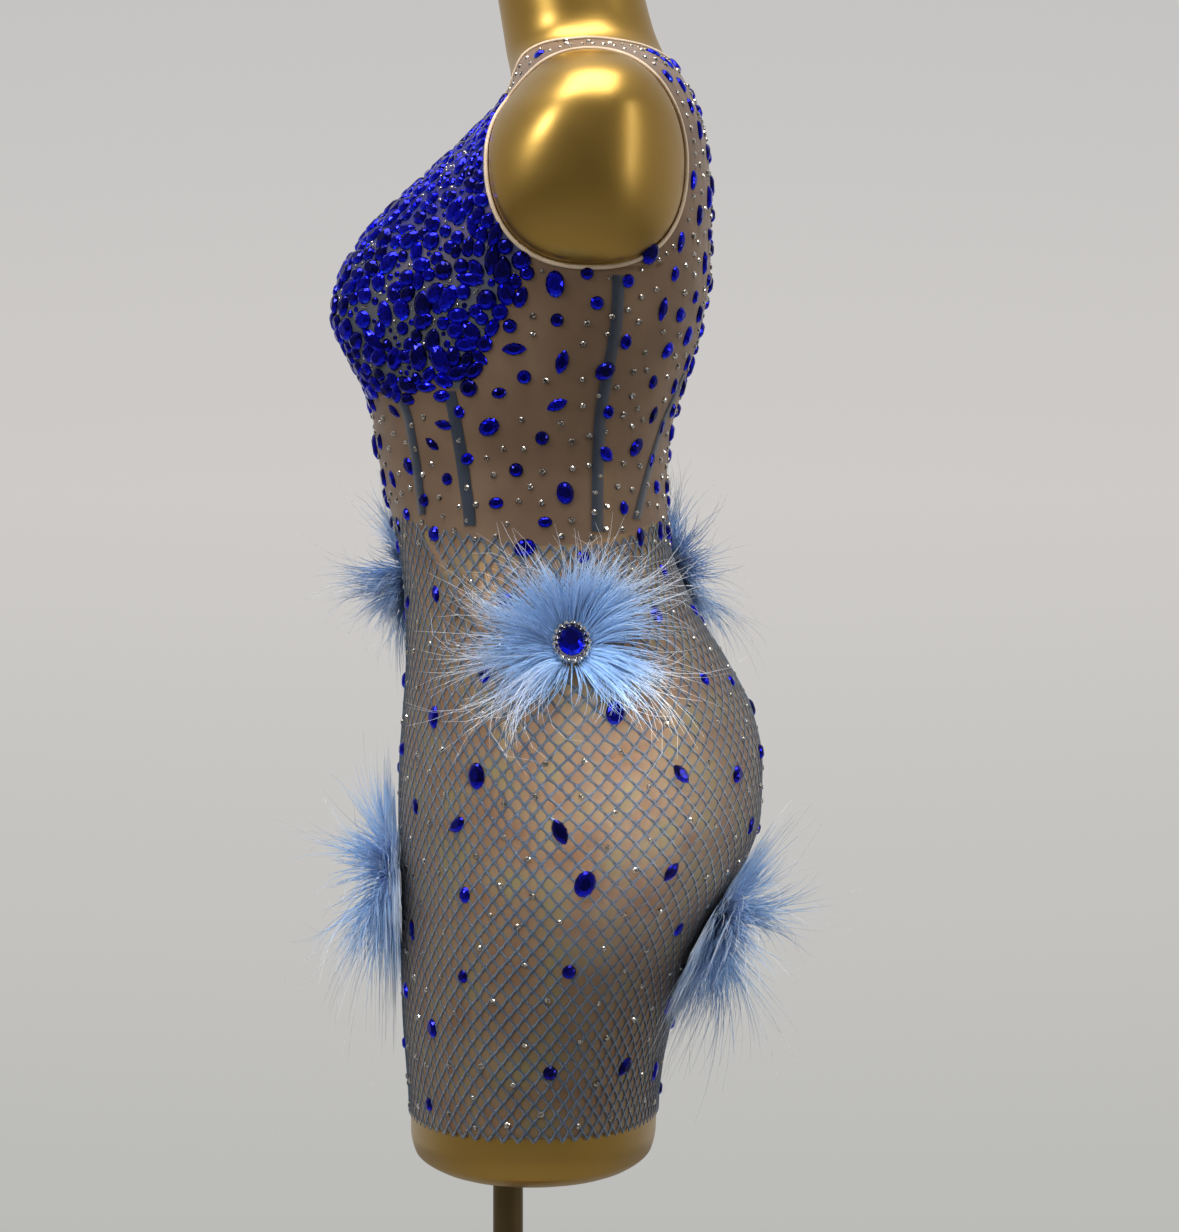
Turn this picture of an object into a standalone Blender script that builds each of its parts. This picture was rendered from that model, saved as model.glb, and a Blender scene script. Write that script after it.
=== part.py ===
"""A sheer stage dress with feather rosettes, on a limbless dress form with a pole and a base plate.

Metres, +Z up. The front of the dress faces -Y and the wearer's left is +X.
The origin is the middle of the base plate's underside, on the pole's axis.
Angles go round the body from the centre front (0) over the wearer's left (90 degrees) to the centre back (180).
"""

import math
import random
from bisect import bisect_right
from functools import lru_cache

import bmesh
import bpy
from mathutils import Vector
from mathutils.bvhtree import BVHTree

# The outer face of the cloth, as level sections: half width, and how far the front and the back lie from the pole.
SECTION_COLUMNS = ("height", "half_width", "front", "back", "power")
SECTIONS = (
    (0.6500, 0.1150, -0.0340, 0.0710, 2.20),
    (0.6530, 0.1345, -0.0520, 0.0880, 2.20),
    (0.6600, 0.1450, -0.0625, 0.0970, 2.20),
    (0.6720, 0.1495, -0.0650, 0.0995, 2.20),
    (0.6900, 0.1515, -0.0650, 0.1000, 2.20),
    (0.7130, 0.1545, -0.0665, 0.1025, 2.20),
    (0.7470, 0.1590, -0.0690, 0.1100, 2.20),
    (0.7800, 0.1635, -0.0700, 0.1210, 2.20),
    (0.8130, 0.1680, -0.0707, 0.1375, 2.20),
    (0.8470, 0.1710, -0.0715, 0.1570, 2.20),
    (0.8800, 0.1710, -0.0718, 0.1675, 2.20),
    (0.9130, 0.1680, -0.0713, 0.1685, 2.20),
    (0.9470, 0.1610, -0.0690, 0.1618, 2.20),
    (0.9800, 0.1510, -0.0670, 0.1453, 2.20),
    (1.0200, 0.1350, -0.0678, 0.1211, 2.25),
    (1.0600, 0.1225, -0.0730, 0.1073, 2.25),
    (1.0960, 0.1215, -0.0820, 0.1057, 2.30),
    (1.1300, 0.1280, -0.0880, 0.1083, 2.30),
    (1.1600, 0.1350, -0.0907, 0.1162, 2.35),
    (1.1970, 0.1420, -0.0867, 0.1273, 2.40),
    (1.2400, 0.1480, -0.0775, 0.1345, 2.40),
    (1.2800, 0.1530, -0.0580, 0.1348, 2.40),
    (1.3200, 0.1560, -0.0265, 0.1318, 2.35),
    (1.3400, 0.1510, -0.0075, 0.1262, 2.30),
    (1.3550, 0.1380, 0.0000, 0.1203, 2.20),
    (1.3680, 0.1120, 0.0010, 0.1137, 2.10),
    (1.3770, 0.0800, -0.0005, 0.1080, 2.00),
    (1.3840, 0.0610, -0.0020, 0.1045, 2.00),
    (1.4000, 0.0540, -0.0045, 0.0980, 2.00),
    (1.4370, 0.0520, -0.0105, 0.0890, 2.00),
    (1.4680, 0.0510, -0.0150, 0.0840, 2.00),
    (1.4760, 0.0450, -0.0095, 0.0775, 2.00),
)

# The cup on each side of the centre front, as a rise towards the front.
CUP_X = 0.083
CUP_HEIGHT = 1.212
CUP_RISE = 0.0355
CUP_REACH_IN = 0.083
CUP_REACH_OUT = 0.066
CUP_REACH_UP = 0.115
CUP_REACH_DOWN = 0.082

# The cloth's edges.
WALL = 0.0012
SEAM_GAP = 0.0003
SEAM_TURN = SEAM_GAP / 0.14
HEM_HEIGHT = 0.684
WAIST_SIDE_HEIGHT = 1.053
WAIST_CENTRE_RISE = 0.022
NECK_TOP = 1.3815
NECK_DROP_FRONT = 0.057
NECK_DROP_BACK = 0.009
ARMHOLE_Y = 0.0528
ARMHOLE_HEIGHT = 1.2952
ARMHOLE_HALF_DEPTH = 0.0617
ARMHOLE_HALF_HEIGHT = 0.0689
ARMHOLE_LOW_POWER = 2.35
ARMHOLE_EDGE = 1.04
BINDING_WIDTH = 0.0030
BINDING_THICK = 0.0022

# The rows and columns of the bodice's panels, and the rows that start the armhole and the neckline.
BODICE_FRONT = {"is_front": True, "rows": 23, "columns": 15, "underarm_row": 9, "strap_row": 16}
BODICE_BACK = {"is_front": False, "rows": 18, "columns": 9, "underarm_row": 8, "strap_row": 13}

# The stones: cut glass in raised settings.
STONE_RISE = 0.0032
STONE_SIZE = 0.0135
STONE_LEAST_MARGIN = 0.0008
STONE_NEAREST_CELL = 0.02
BIB_ANGLE = math.radians(75)
BIB_LOW = 1.157
BIB_SIDE_RISE = 0.018
BIB_TOP = 1.346

# The boning tapes on the bodice's left half: angle and height at the top, the middle and the bottom.
TAPE_COLUMNS = ("name", "top", "middle", "low")
TAPES = (
    ("front", (45.5, 1.150), (48.5, 1.108), (45.0, 1.074)),
    ("side_front", (67.5, 1.150), (70.5, 1.105), (68.5, 1.066)),
    ("side_back", (111.8, 1.221), (117.5, 1.140), (115.2, 1.0625)),
    ("back", (166.0, 1.168), (152.0, 1.121), (136.5, 1.071)),
)
TAPE_WIDTH = 0.0085
TAPE_THICK = 0.0008
TAPE_LIFT = 0.0008
TAPE_STEPS = 12
TAPE_CLEAR_TURN = 0.16
TAPE_CLEAR_HEIGHT = 0.008

# The skirt panels' cells, and the large stones on the left half of the skirt, which the right half mirrors.
SKIRT_CELLS = {"rows": 14, "columns": 9}
SKIRT_STONE_COLUMNS = ("height", "angle")
SKIRT_STONES = (
    (1.042, 62), (1.046, 86), (1.058, 128), (1.036, 143), (1.018, 38), (1.010, 152),
    (0.962, 42), (0.955, 105), (0.968, 150), (0.905, 50), (0.905, 120), (0.925, 172),
    (0.905, 10), (0.870, 44), (0.865, 82), (0.832, 90), (0.838, 122), (0.822, 48),
    (0.800, 12), (0.800, 130), (0.775, 85), (0.752, 140), (0.738, 35), (0.715, 10),
    (0.712, 80), (0.718, 165), (0.770, 172),
)
CLEAR_OF_ROSETTE = 0.034

# The feather rosettes: where each is sewn on.
ROSETTE_COLUMNS = ("name", "angle", "height", "reach", "longer_across")
ROSETTES = (
    ("hip_left", 93, 0.991, 0.100, 0.15),
    ("hip_front", -24, 1.036, 0.078, 0.0),
    ("hip_back", 204, 1.036, 0.078, 0.0),
    ("thigh_front", 10, 0.842, 0.105, 0.0),
    ("thigh_back", 163, 0.815, 0.101, 0.0),
    ("thigh_right", -92, 0.840, 0.098, -0.10),
)
LONGER_DOWN = 0.10
BACKING_RINGS = ((0.0163, 0.0046), (0.0190, 0.0032), (0.0210, 0.0008))
BACKING_SIDES = 12
LOCK_ELEVATIONS = {"inner": 58, "middle": 44, "outer": 30}
LOCK_KNEE = 0.55
LOCK_BEND = math.radians(18)
LOCK_SAG = 0.06
LOCK_THICK = 0.0011
LOCK_UNEVEN = {"heading": 0.06, "elevation": 4, "length": 0.84}
BROOCH_HALF_WIDTH = 0.0135
BROOCH_HALF_HEIGHT = 0.0155
BROOCH_SIDES = 16
BROOCH_PROFILE = ((1.0, 0.0), (0.97, 0.0024), (0.76, 0.0026), (0.50, 0.0066))

# The dress form and its stand.
FORM_GAP = 0.0022
FORM_SIDES = 34
FORM_LEVEL_COLUMNS = ("from_height", "step")
FORM_LEVELS = ((0.640, 0.034), (1.090, 0.021), (1.270, 0.030), (1.360, 0.006), (1.405, 0.030))
FORM_CUP_SHARE = 0.10
FORM_SHOULDER_HEIGHT = 1.372
FORM_SHOULDER_REACH = 0.038
FORM_SHOULDER_DEPTH = 0.0044
CAP_RISE = 0.027
CAP_SIDES = 24
CAP_RINGS = 5
CAP_EDGE = 0.983
CAP_THICK = 0.0022
CAP_RECESS = 0.0060
POLE_RADIUS = 0.0100
BASE_RADIUS = 0.170
BASE_THICK = 0.012
BASE_BEVEL = 0.003
COLLAR_RADIUS = 0.019
COLLAR_HEIGHT = 0.022

GOLD = ((0.62, 0.46, 0.17), 0.28, 1.0)
NUDE_MESH = ((0.42, 0.31, 0.25), 0.75, 0.0)
NET_MESH = ((0.34, 0.35, 0.38), 0.75, 0.0)
BLUE_GLASS = ((0.01, 0.01, 0.35), 0.08, 0.0)
BLUE_TAPE = ((0.16, 0.24, 0.32), 0.6, 0.0)
BLUE_FEATHER = ((0.38, 0.53, 0.78), 0.8, 0.0)
BINDING = ((0.66, 0.55, 0.45), 0.7, 0.0)


def clear_scene():
    for obj in list(bpy.data.objects):
        bpy.data.objects.remove(obj, do_unlink=True)


def monotone_slopes(xs, ys):
    """Slopes at the points of a curve that never overshoots them."""
    steps = [(ys[i + 1] - ys[i]) / (xs[i + 1] - xs[i]) for i in range(len(xs) - 1)]
    slopes = [steps[0]]
    for before, after in zip(steps, steps[1:]):
        slopes.append(0.0 if before * after <= 0 else 2 * before * after / (before + after))
    return slopes + [steps[-1]]


SECTION_HEIGHTS = [row[0] for row in SECTIONS]
SECTION_CURVES = [
    ([row[k] for row in SECTIONS], monotone_slopes(SECTION_HEIGHTS, [row[k] for row in SECTIONS]))
    for k in range(1, len(SECTION_COLUMNS))
]


@lru_cache(maxsize=None)
def section(height):
    """Half width, middle, half depth and power of the level section at a height."""
    height = min(max(height, SECTION_HEIGHTS[0]), SECTION_HEIGHTS[-1])
    i = min(bisect_right(SECTION_HEIGHTS, height) - 1, len(SECTION_HEIGHTS) - 2)
    step = SECTION_HEIGHTS[i + 1] - SECTION_HEIGHTS[i]
    t = (height - SECTION_HEIGHTS[i]) / step
    found = []
    for values, slopes in SECTION_CURVES:
        found.append(
            values[i] * (1 + 2 * t) * (1 - t) ** 2
            + values[i + 1] * t * t * (3 - 2 * t)
            + step * slopes[i] * t * (1 - t) ** 2
            + step * slopes[i + 1] * t * t * (t - 1)
        )
    half_width, front, back, power = found
    return half_width, (front + back) / 2, (back - front) / 2, power


def signed_power(value, power):
    return math.copysign(abs(value) ** power, value)


def cup_rise(x, height):
    """How far the cups push the cloth forward at a place on the front."""
    across = abs(x) - CUP_X
    up = height - CUP_HEIGHT
    reach_x = CUP_REACH_OUT if across > 0 else CUP_REACH_IN
    reach_z = CUP_REACH_UP if up > 0 else CUP_REACH_DOWN
    away = math.hypot(across / reach_x, up / reach_z)
    return CUP_RISE * math.cos(math.pi / 2 * min(away, 1.0)) ** 2


def on_body(angle, height):
    """The point of the cloth's outer face at an angle and a height."""
    half_width, middle, half_depth, power = section(height)
    ahead = math.cos(angle)
    x = half_width * signed_power(math.sin(angle), 2 / power)
    y = middle - half_depth * signed_power(ahead, 2 / power)
    if ahead > 0:
        y -= cup_rise(x, height) * min(1.0, 3 * ahead)
    return Vector((x, y, height))


def outward(angle, height):
    """The unit normal of the cloth's outer face."""
    turn, rise = 0.01, 0.001
    around = on_body(angle + turn, height) - on_body(angle - turn, height)
    upward = on_body(angle, height + rise) - on_body(angle, height - rise)
    return around.cross(upward).normalized()


def off_body(angle, height, out):
    return on_body(angle, height) + outward(angle, height) * out


def angle_at_y(y, height):
    _, middle, half_depth, power = section(height)
    ahead = max(-1.0, min(1.0, (middle - y) / half_depth))
    return math.acos(signed_power(ahead, power / 2))


def angle_at_x(x, height):
    half_width, _, _, power = section(height)
    return math.asin(min(1.0, x / half_width) ** (power / 2))


def lerp(a, b, t):
    return a + (b - a) * t


def armhole(turn, size=ARMHOLE_EDGE):
    """A point on the left armhole's edge. Turn 0 is at the back, a quarter is at the top and a half at the front."""
    power = 2.0 if math.sin(turn) > 0 else ARMHOLE_LOW_POWER
    y = ARMHOLE_Y + size * ARMHOLE_HALF_DEPTH * signed_power(math.cos(turn), 2 / power)
    height = ARMHOLE_HEIGHT + size * ARMHOLE_HALF_HEIGHT * signed_power(math.sin(turn), 2 / power)
    return angle_at_y(y, height), height


def armhole_at_seam(low, high):
    """The turn between two turns at which the armhole's edge crosses the seam line at 90 degrees."""
    seam = math.pi / 2
    low_is_front = armhole(low)[0] < seam
    for _ in range(40):
        turn = (low + high) / 2
        if (armhole(turn)[0] < seam) == low_is_front:
            low = turn
        else:
            high = turn
    return (low + high) / 2


SHOULDER_TURN = armhole_at_seam(math.radians(40), math.radians(130))
UNDERARM_TURN = math.radians(270)
UNDERARM_ANGLE, UNDERARM_HEIGHT = armhole(UNDERARM_TURN)


def neckline(turn, is_front):
    """A point on the left half of the neckline, from the centre (turn 0) to the shoulder (a quarter turn)."""
    drop = NECK_DROP_FRONT if is_front else NECK_DROP_BACK
    height = NECK_TOP - drop * math.cos(turn)
    angle = angle_at_x(section(NECK_TOP)[0] * math.sin(turn), height)
    return (angle if is_front else math.pi - angle), height


def waist_height(angle):
    return WAIST_SIDE_HEIGHT + WAIST_CENTRE_RISE * math.cos(angle) ** 2


def bodice_rows(is_front, rows, columns, underarm_row, strap_row):
    """Rows of (angle, height) on the left half of the bodice's front or back, from the waist to the shoulder.

    Each row runs from the centre line or the neckline to the side seam or the armhole.
    """
    centre = 0.0 if is_front else math.pi
    aside = (-1 if is_front else 1) * SEAM_TURN
    underarm_share = underarm_row / rows
    strap_share = strap_row / rows
    neck_centre = neckline(0.0, is_front)[1]
    low_turn, high_turn = (UNDERARM_TURN, SHOULDER_TURN) if is_front else (UNDERARM_TURN - math.tau, SHOULDER_TURN)
    made = []
    for j in range(rows + 1):
        t = j / rows
        if j <= underarm_row:
            seam = lerp(math.pi / 2, UNDERARM_ANGLE, j / underarm_row) + aside
            outer = (seam, lerp(waist_height(seam), UNDERARM_HEIGHT, j / underarm_row))
        else:
            share = (t - underarm_share) / (1 - underarm_share)
            seam = lerp(UNDERARM_ANGLE, math.pi / 2, share) + aside
            outer = armhole(lerp(low_turn, high_turn, share))
            outer = (min(outer[0], seam) if is_front else max(outer[0], seam), outer[1])
        if j <= strap_row:
            inner = (centre, lerp(waist_height(centre), neck_centre, j / strap_row))
        else:
            inner = neckline(math.pi / 2 * (t - strap_share) / (1 - strap_share), is_front)
            inner = (min(inner[0], seam) if is_front else max(inner[0], seam), inner[1])
        row = []
        eased = min(1.0, (rows - j) / (rows - strap_row))
        for i in range(columns + 1):
            share = i / columns
            angle = lerp(inner[0], outer[0], share)
            levelled = lerp(share, 1 - (1 - share) ** 2, eased)
            bow = waist_height(angle) - lerp(waist_height(inner[0]), waist_height(outer[0]), levelled)
            row.append((angle, lerp(inner[1], outer[1], levelled) + bow * (1 - t) ** 2))
        made.append(row)
    return made


def skirt_rows(is_front, rows, columns):
    """Rows of (angle, height) on the left half of the skirt's front or back, from the hem to the waist."""
    centre = 0.0 if is_front else math.pi
    seam = math.pi / 2 + (-1 if is_front else 1) * SEAM_TURN
    made = []
    for j in range(rows + 1):
        row = []
        for i in range(columns + 1):
            angle = lerp(centre, seam, i / columns)
            row.append((angle, lerp(HEM_HEIGHT, waist_height(angle) - SEAM_GAP, j / rows)))
        made.append(row)
    return made


def place_mesh(name, bm, finish, smooth=True):
    """Makes a node of a bmesh, in triangles that are turned outwards."""
    bmesh.ops.triangulate(bm, faces=bm.faces)
    bmesh.ops.recalc_face_normals(bm, faces=bm.faces)
    mesh = bpy.data.meshes.new(name)
    bm.to_mesh(mesh)
    bm.free()
    if smooth:
        mesh.shade_smooth()
        mesh.set_sharp_from_angle(angle=math.radians(35))
    colour, roughness, metallic = finish
    material = bpy.data.materials.new(name + "_finish")
    material.use_nodes = True
    shader = material.node_tree.nodes["Principled BSDF"]
    shader.inputs["Base Color"].default_value = (*colour, 1.0)
    shader.inputs["Roughness"].default_value = roughness
    shader.inputs["Metallic"].default_value = metallic
    mesh.materials.append(material)
    obj = bpy.data.objects.new(name, mesh)
    bpy.context.scene.collection.objects.link(obj)
    return obj


def cloth_panel(name, rows, finish, stone_at):
    """A wall of cloth on both halves of the body, plain inside, with stones raised in its outer face.

    stone_at(angle, height, column, row) says whether a cell holds a stone: "close", "single" or nothing.
    """
    bm = bmesh.new()
    found = {}

    def corner(side, place, out):
        """One vertex for each place, shared where the halves meet at the centre line."""
        angle = side * place[0]
        if abs(math.sin(angle)) < 1e-9:
            angle = abs(angle)
        key = (round(angle, 7), round(place[1], 7), out)
        if key not in found:
            found[key] = bm.verts.new(off_body(angle, place[1], out))
        return found[key]

    single, close, edges = [], [], {}
    for side in (1, -1):
        for j in range(len(rows) - 1):
            for i in range(len(rows[0]) - 1):
                places = [rows[j][i], rows[j][i + 1], rows[j + 1][i + 1], rows[j + 1][i]]
                outer = [corner(side, p, 0.0) for p in places]
                inner = [corner(side, p, -WALL) for p in places]
                kept = [k for k in range(4) if outer[k] is not outer[k - 1]]
                outer = [outer[k] for k in kept]
                inner = [inner[k] for k in kept]
                if len(outer) < 3:
                    continue
                face = bm.faces.new(outer)
                bm.faces.new(inner[::-1])
                for k in range(len(outer)):
                    ends = (outer[k - 1], outer[k])
                    edges.setdefault(frozenset(ends), []).append((ends, (inner[k - 1], inner[k])))
                middle = (
                    side * sum(p[0] for p in places) / 4,
                    sum(p[1] for p in places) / 4,
                )
                kind = stone_at(middle[0], middle[1], i, j)
                if kind and len(outer) == 4:
                    (close if kind == "close" else single).append(face)
    for uses in edges.values():
        if len(uses) == 1:
            (a, b), (c, d) = uses[0]
            bm.faces.new((a, b, d, c))
    raise_stones(bm, close, single)
    return place_mesh(name, bm, finish, smooth=False)


def is_squarish(face):
    """Whether a cell is wide and upright enough to hold a stone of the stated size."""
    lengths = [edge.calc_length() for edge in face.edges]
    return min(lengths) > 0.42 * max(lengths) and face.calc_area() > 0.7 * min(lengths) * max(lengths)


def raise_stones(bm, close, single):
    """Raises a stone in each of these outer faces: as wide as the cell where they lie close, or of one size."""
    bm.normal_update()
    single = [face for face in single if is_squarish(face)]
    for face in single:
        lengths = [edge.calc_length() for edge in face.edges]
        margin = max(STONE_LEAST_MARGIN, (min(lengths) - STONE_SIZE) / 2)
        bmesh.ops.inset_individual(bm, faces=[face], thickness=margin, use_even_offset=True)
    for face in close + single:
        middle = face.calc_center_median()
        away = outward(math.atan2(middle.x, -(middle.y - section(middle.z)[1])), middle.z)
        poked = bmesh.ops.poke(bm, faces=[face])
        for vert in poked["verts"]:
            vert.co += away * STONE_RISE


def closed_band(bm, sections):
    """Joins a closed run of closed sections, each a list of points, into one ring-shaped body."""
    made = [[bm.verts.new(p) for p in points] for points in sections]
    count = len(made[0])
    for a, b in zip(made, made[1:] + made[:1]):
        for k in range(count):
            bm.faces.new((a[k - 1], a[k], b[k], b[k - 1]))


def open_band(bm, sections):
    """Joins an open run of closed sections into one body with flat ends."""
    made = [[bm.verts.new(p) for p in points] for points in sections]
    count = len(made[0])
    for a, b in zip(made, made[1:]):
        for k in range(count):
            bm.faces.new((a[k - 1], a[k], b[k], b[k - 1]))
    bm.faces.new(made[0])
    bm.faces.new(made[-1][::-1])


def edge_binding(name, places):
    """A folded band round a closed edge, on the side of the opening: places are (side, angle, height)."""
    points = [on_body(side * angle, height) for side, angle, height in places]
    normals = [outward(side * angle, height) for side, angle, height in places]
    middle = sum(points, Vector()) / len(points)
    sections = []
    for k, (point, normal) in enumerate(zip(points, normals)):
        along = (points[(k + 1) % len(points)] - points[k - 1]).normalized()
        inward = along.cross(normal).normalized()
        if inward.dot(middle - point) < 0:
            inward.negate()
        near = point + inward * SEAM_GAP - normal * WALL
        far = near + inward * BINDING_WIDTH
        sections.append([near, far, far + normal * BINDING_THICK, near + normal * BINDING_THICK])
    bm = bmesh.new()
    closed_band(bm, sections)
    return place_mesh(name, bm, BINDING)


def armhole_binding(name, side):
    """The armhole's binding: up the front panel's edge and down the back panel's."""
    front = [row[-1] for row in bodice_rows(**BODICE_FRONT)[BODICE_FRONT["underarm_row"]:]]
    back = [row[-1] for row in bodice_rows(**BODICE_BACK)[BODICE_BACK["underarm_row"]:]]
    return edge_binding(name, [(side, *place) for place in front + back[-2:0:-1]])


def neck_binding(name):
    """The neckline's binding, round the front and back panels' edges on both sides, as one closed run."""
    front = [row[0] for row in bodice_rows(**BODICE_FRONT)[BODICE_FRONT["strap_row"]:]]
    back = [row[0] for row in bodice_rows(**BODICE_BACK)[BODICE_BACK["strap_row"]:]]
    half = front + back[-2::-1]
    places = [(1, *place) for place in half] + [(-1, *place) for place in half[-2:0:-1]]
    return edge_binding(name, places)


def seated(panels, angle, height, out):
    """A place as far out from the cloth's own faces as is asked."""
    normal = outward(angle, height)
    start = off_body(angle, height, 0.01)
    for tree in panels:
        hit = tree.ray_cast(start, -normal, 0.012)[0]
        if hit is not None:
            return hit + normal * out
    return off_body(angle, height, out)


def tape_place(tape, share):
    """Angle and height on a tape's smooth line through its three places, from the top (0) to the bottom (1)."""
    places = (tape["top"], tape["middle"], tape["low"])
    weights = ((1 - share) * (1 - 2 * share), 4 * share * (1 - share), share * (2 * share - 1))
    degrees, height = (sum(w * place[k] for w, place in zip(weights, places)) for k in range(2))
    return math.radians(degrees), height


def boning_tape(name, side, row, panels):
    """A narrow tape on the bodice, from its top to just above the waist seam."""
    tape = dict(zip(TAPE_COLUMNS, row))
    sections = []
    for k in range(TAPE_STEPS + 1):
        angle, height = tape_place(tape, k / TAPE_STEPS)
        angle *= side
        half_turn = TAPE_WIDTH / 2 / (on_body(angle + 0.01, height) - on_body(angle - 0.01, height)).length * 0.02
        near, far = angle - half_turn, angle + half_turn
        sections.append([
            seated(panels, near, height, TAPE_LIFT),
            seated(panels, far, height, TAPE_LIFT),
            seated(panels, far, height, TAPE_LIFT + TAPE_THICK),
            seated(panels, near, height, TAPE_LIFT + TAPE_THICK),
        ])
    bm = bmesh.new()
    open_band(bm, sections)
    return place_mesh(name, bm, BLUE_TAPE)


def on_tape(angle, height):
    """Whether a stone's cell would meet a boning tape."""
    for row in TAPES:
        tape = dict(zip(TAPE_COLUMNS, row))
        for k in range(-1, TAPE_STEPS + 2):
            tape_angle, tape_height = tape_place(tape, k / TAPE_STEPS)
            beside = abs(abs(angle) - tape_angle) < TAPE_CLEAR_TURN
            if beside and abs(height - tape_height) < TAPE_CLEAR_HEIGHT:
                return True
    return False


def near_rosette(angle, height):
    point = on_body(angle, height)
    for row in ROSETTES:
        rosette = dict(zip(ROSETTE_COLUMNS, row))
        if (on_body(math.radians(rosette["angle"]), rosette["height"]) - point).length < CLEAR_OF_ROSETTE:
            return True
    return False


def bodice_stone(angle, height, column, row):
    """Close stones over the cups and up to the straps, and scattered ones elsewhere."""
    if on_tape(angle, height):
        return None
    turn = abs(angle)
    low = BIB_LOW + BIB_SIDE_RISE * (turn / BIB_ANGLE) ** 2
    if turn < BIB_ANGLE and low < height < BIB_TOP:
        return "close"
    if turn < math.pi / 2 and height < BIB_TOP:
        wanted = (2 * column + 3 * row) % 8 == 0
    else:
        wanted = (column + 2 * row) % 5 == 0
    return "single" if wanted and column > 0 and row > 0 else None


def skirt_stone_cells(rows):
    """The cells of the skirt's half that lie nearest to its stones."""
    cells = set()
    for values in SKIRT_STONES:
        stone = dict(zip(SKIRT_STONE_COLUMNS, values))
        spot = on_body(math.radians(stone["angle"]), stone["height"])
        best = None
        for j in range(len(rows) - 1):
            for i in range(len(rows[0]) - 1):
                angle = (rows[j][i][0] + rows[j][i + 1][0]) / 2
                height = (rows[j][i][1] + rows[j + 1][i][1]) / 2
                away = (on_body(angle, height) - spot).length
                if best is None or away < best[0]:
                    best = (away, (i, j))
        if best[0] < STONE_NEAREST_CELL:
            cells.add(best[1])
    return cells


def skirt_panel(name, is_front):
    rows = skirt_rows(is_front, **SKIRT_CELLS)
    cells = skirt_stone_cells(rows)

    def stone_at(angle, height, column, row):
        if (column, row) in cells and not near_rosette(angle, height):
            return "single"
        return None

    return cloth_panel(name, rows, NET_MESH, stone_at)


def tube_between(bm, rings):
    """Joins level rings of points into one body with closed ends."""
    made = [[bm.verts.new(p) for p in ring] for ring in rings]
    count = len(made[0])
    for a, b in zip(made, made[1:]):
        for k in range(count):
            bm.faces.new((a[k - 1], a[k], b[k], b[k - 1]))
    bm.faces.new(made[0][::-1])
    bm.faces.new(made[-1])


def form_heights():
    """Levels of the form's rings: the table's own, and more between those that lie far apart."""
    levels = [dict(zip(FORM_LEVEL_COLUMNS, row)) for row in FORM_LEVELS]
    heights = []
    for low, high in zip(SECTION_HEIGHTS, SECTION_HEIGHTS[1:]):
        step = [level["step"] for level in levels if level["from_height"] < high][-1]
        parts = max(1, round((high - low) / step))
        heights += [lerp(low, high, k / parts) for k in range(parts)]
    return heights + [SECTION_HEIGHTS[-1]]


def form_depth(angle, height):
    """How deep the torso lies under the cloth's outer face: more behind the caps, in the cups and at the shoulders."""
    point = on_body(angle, height)
    in_cup = cup_rise(point.x, height) * FORM_CUP_SHARE if point.y < ARMHOLE_Y else 0.0
    across = (point.y - ARMHOLE_Y) / ARMHOLE_HALF_DEPTH
    upward = (height - ARMHOLE_HEIGHT) / ARMHOLE_HALF_HEIGHT
    behind = min(1.0, max(0.0, 1.15 - math.hypot(across, upward)) / 0.35)
    at_shoulder = max(0.0, 1 - abs(height - FORM_SHOULDER_HEIGHT) / FORM_SHOULDER_REACH)
    return WALL + FORM_GAP + CAP_RECESS * behind + in_cup + FORM_SHOULDER_DEPTH * at_shoulder


def form_torso():
    """The gold torso and neck, just inside the cloth, with a flat underside and a flat neck top."""
    heights = form_heights()
    rings = []
    for height in heights:
        ring = []
        for k in range(FORM_SIDES):
            angle = math.tau * k / FORM_SIDES
            point = off_body(angle, height, -form_depth(angle, height))
            at_end = height in (heights[0], heights[-1])
            ring.append(Vector((point.x, point.y, height)) if at_end else point)
        rings.append(ring)
    bm = bmesh.new()
    tube_between(bm, rings)
    return place_mesh("form_torso", bm, GOLD)


def form_cap(name, side):
    """The domed cap that closes the form's shoulder inside an armhole."""
    base = -(WALL + FORM_GAP)
    bm = bmesh.new()
    outer, inner = [], []
    for ring in range(1, CAP_RINGS + 1):
        share = math.sin(math.pi / 2 * ring / CAP_RINGS)
        rise = CAP_RISE * math.sqrt(max(0.0, 1 - share * share))
        outer_ring, inner_ring = [], []
        for k in range(CAP_SIDES):
            angle, height = armhole(math.tau * k / CAP_SIDES, share * CAP_EDGE)
            raised = off_body(side * angle, height, base + CAP_THICK) + Vector((side * rise, 0, 0))
            outer_ring.append(bm.verts.new(raised))
            inner_ring.append(bm.verts.new(off_body(side * angle, height, base)))
        outer.append(outer_ring)
        inner.append(inner_ring)
    angle, height = armhole(0.0, 0.0)
    tips = [
        bm.verts.new(off_body(side * angle, height, base + CAP_THICK) + Vector((side * CAP_RISE, 0, 0))),
        bm.verts.new(off_body(side * angle, height, base)),
    ]
    for rings, tip in ((outer, tips[0]), (inner, tips[1])):
        for k in range(CAP_SIDES):
            bm.faces.new((tip, rings[0][k - 1], rings[0][k]))
            for a, b in zip(rings, rings[1:]):
                bm.faces.new((a[k - 1], b[k - 1], b[k], a[k]))
    for k in range(CAP_SIDES):
        bm.faces.new((outer[-1][k - 1], inner[-1][k - 1], inner[-1][k], outer[-1][k]))
    return place_mesh(name, bm, GOLD)


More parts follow.
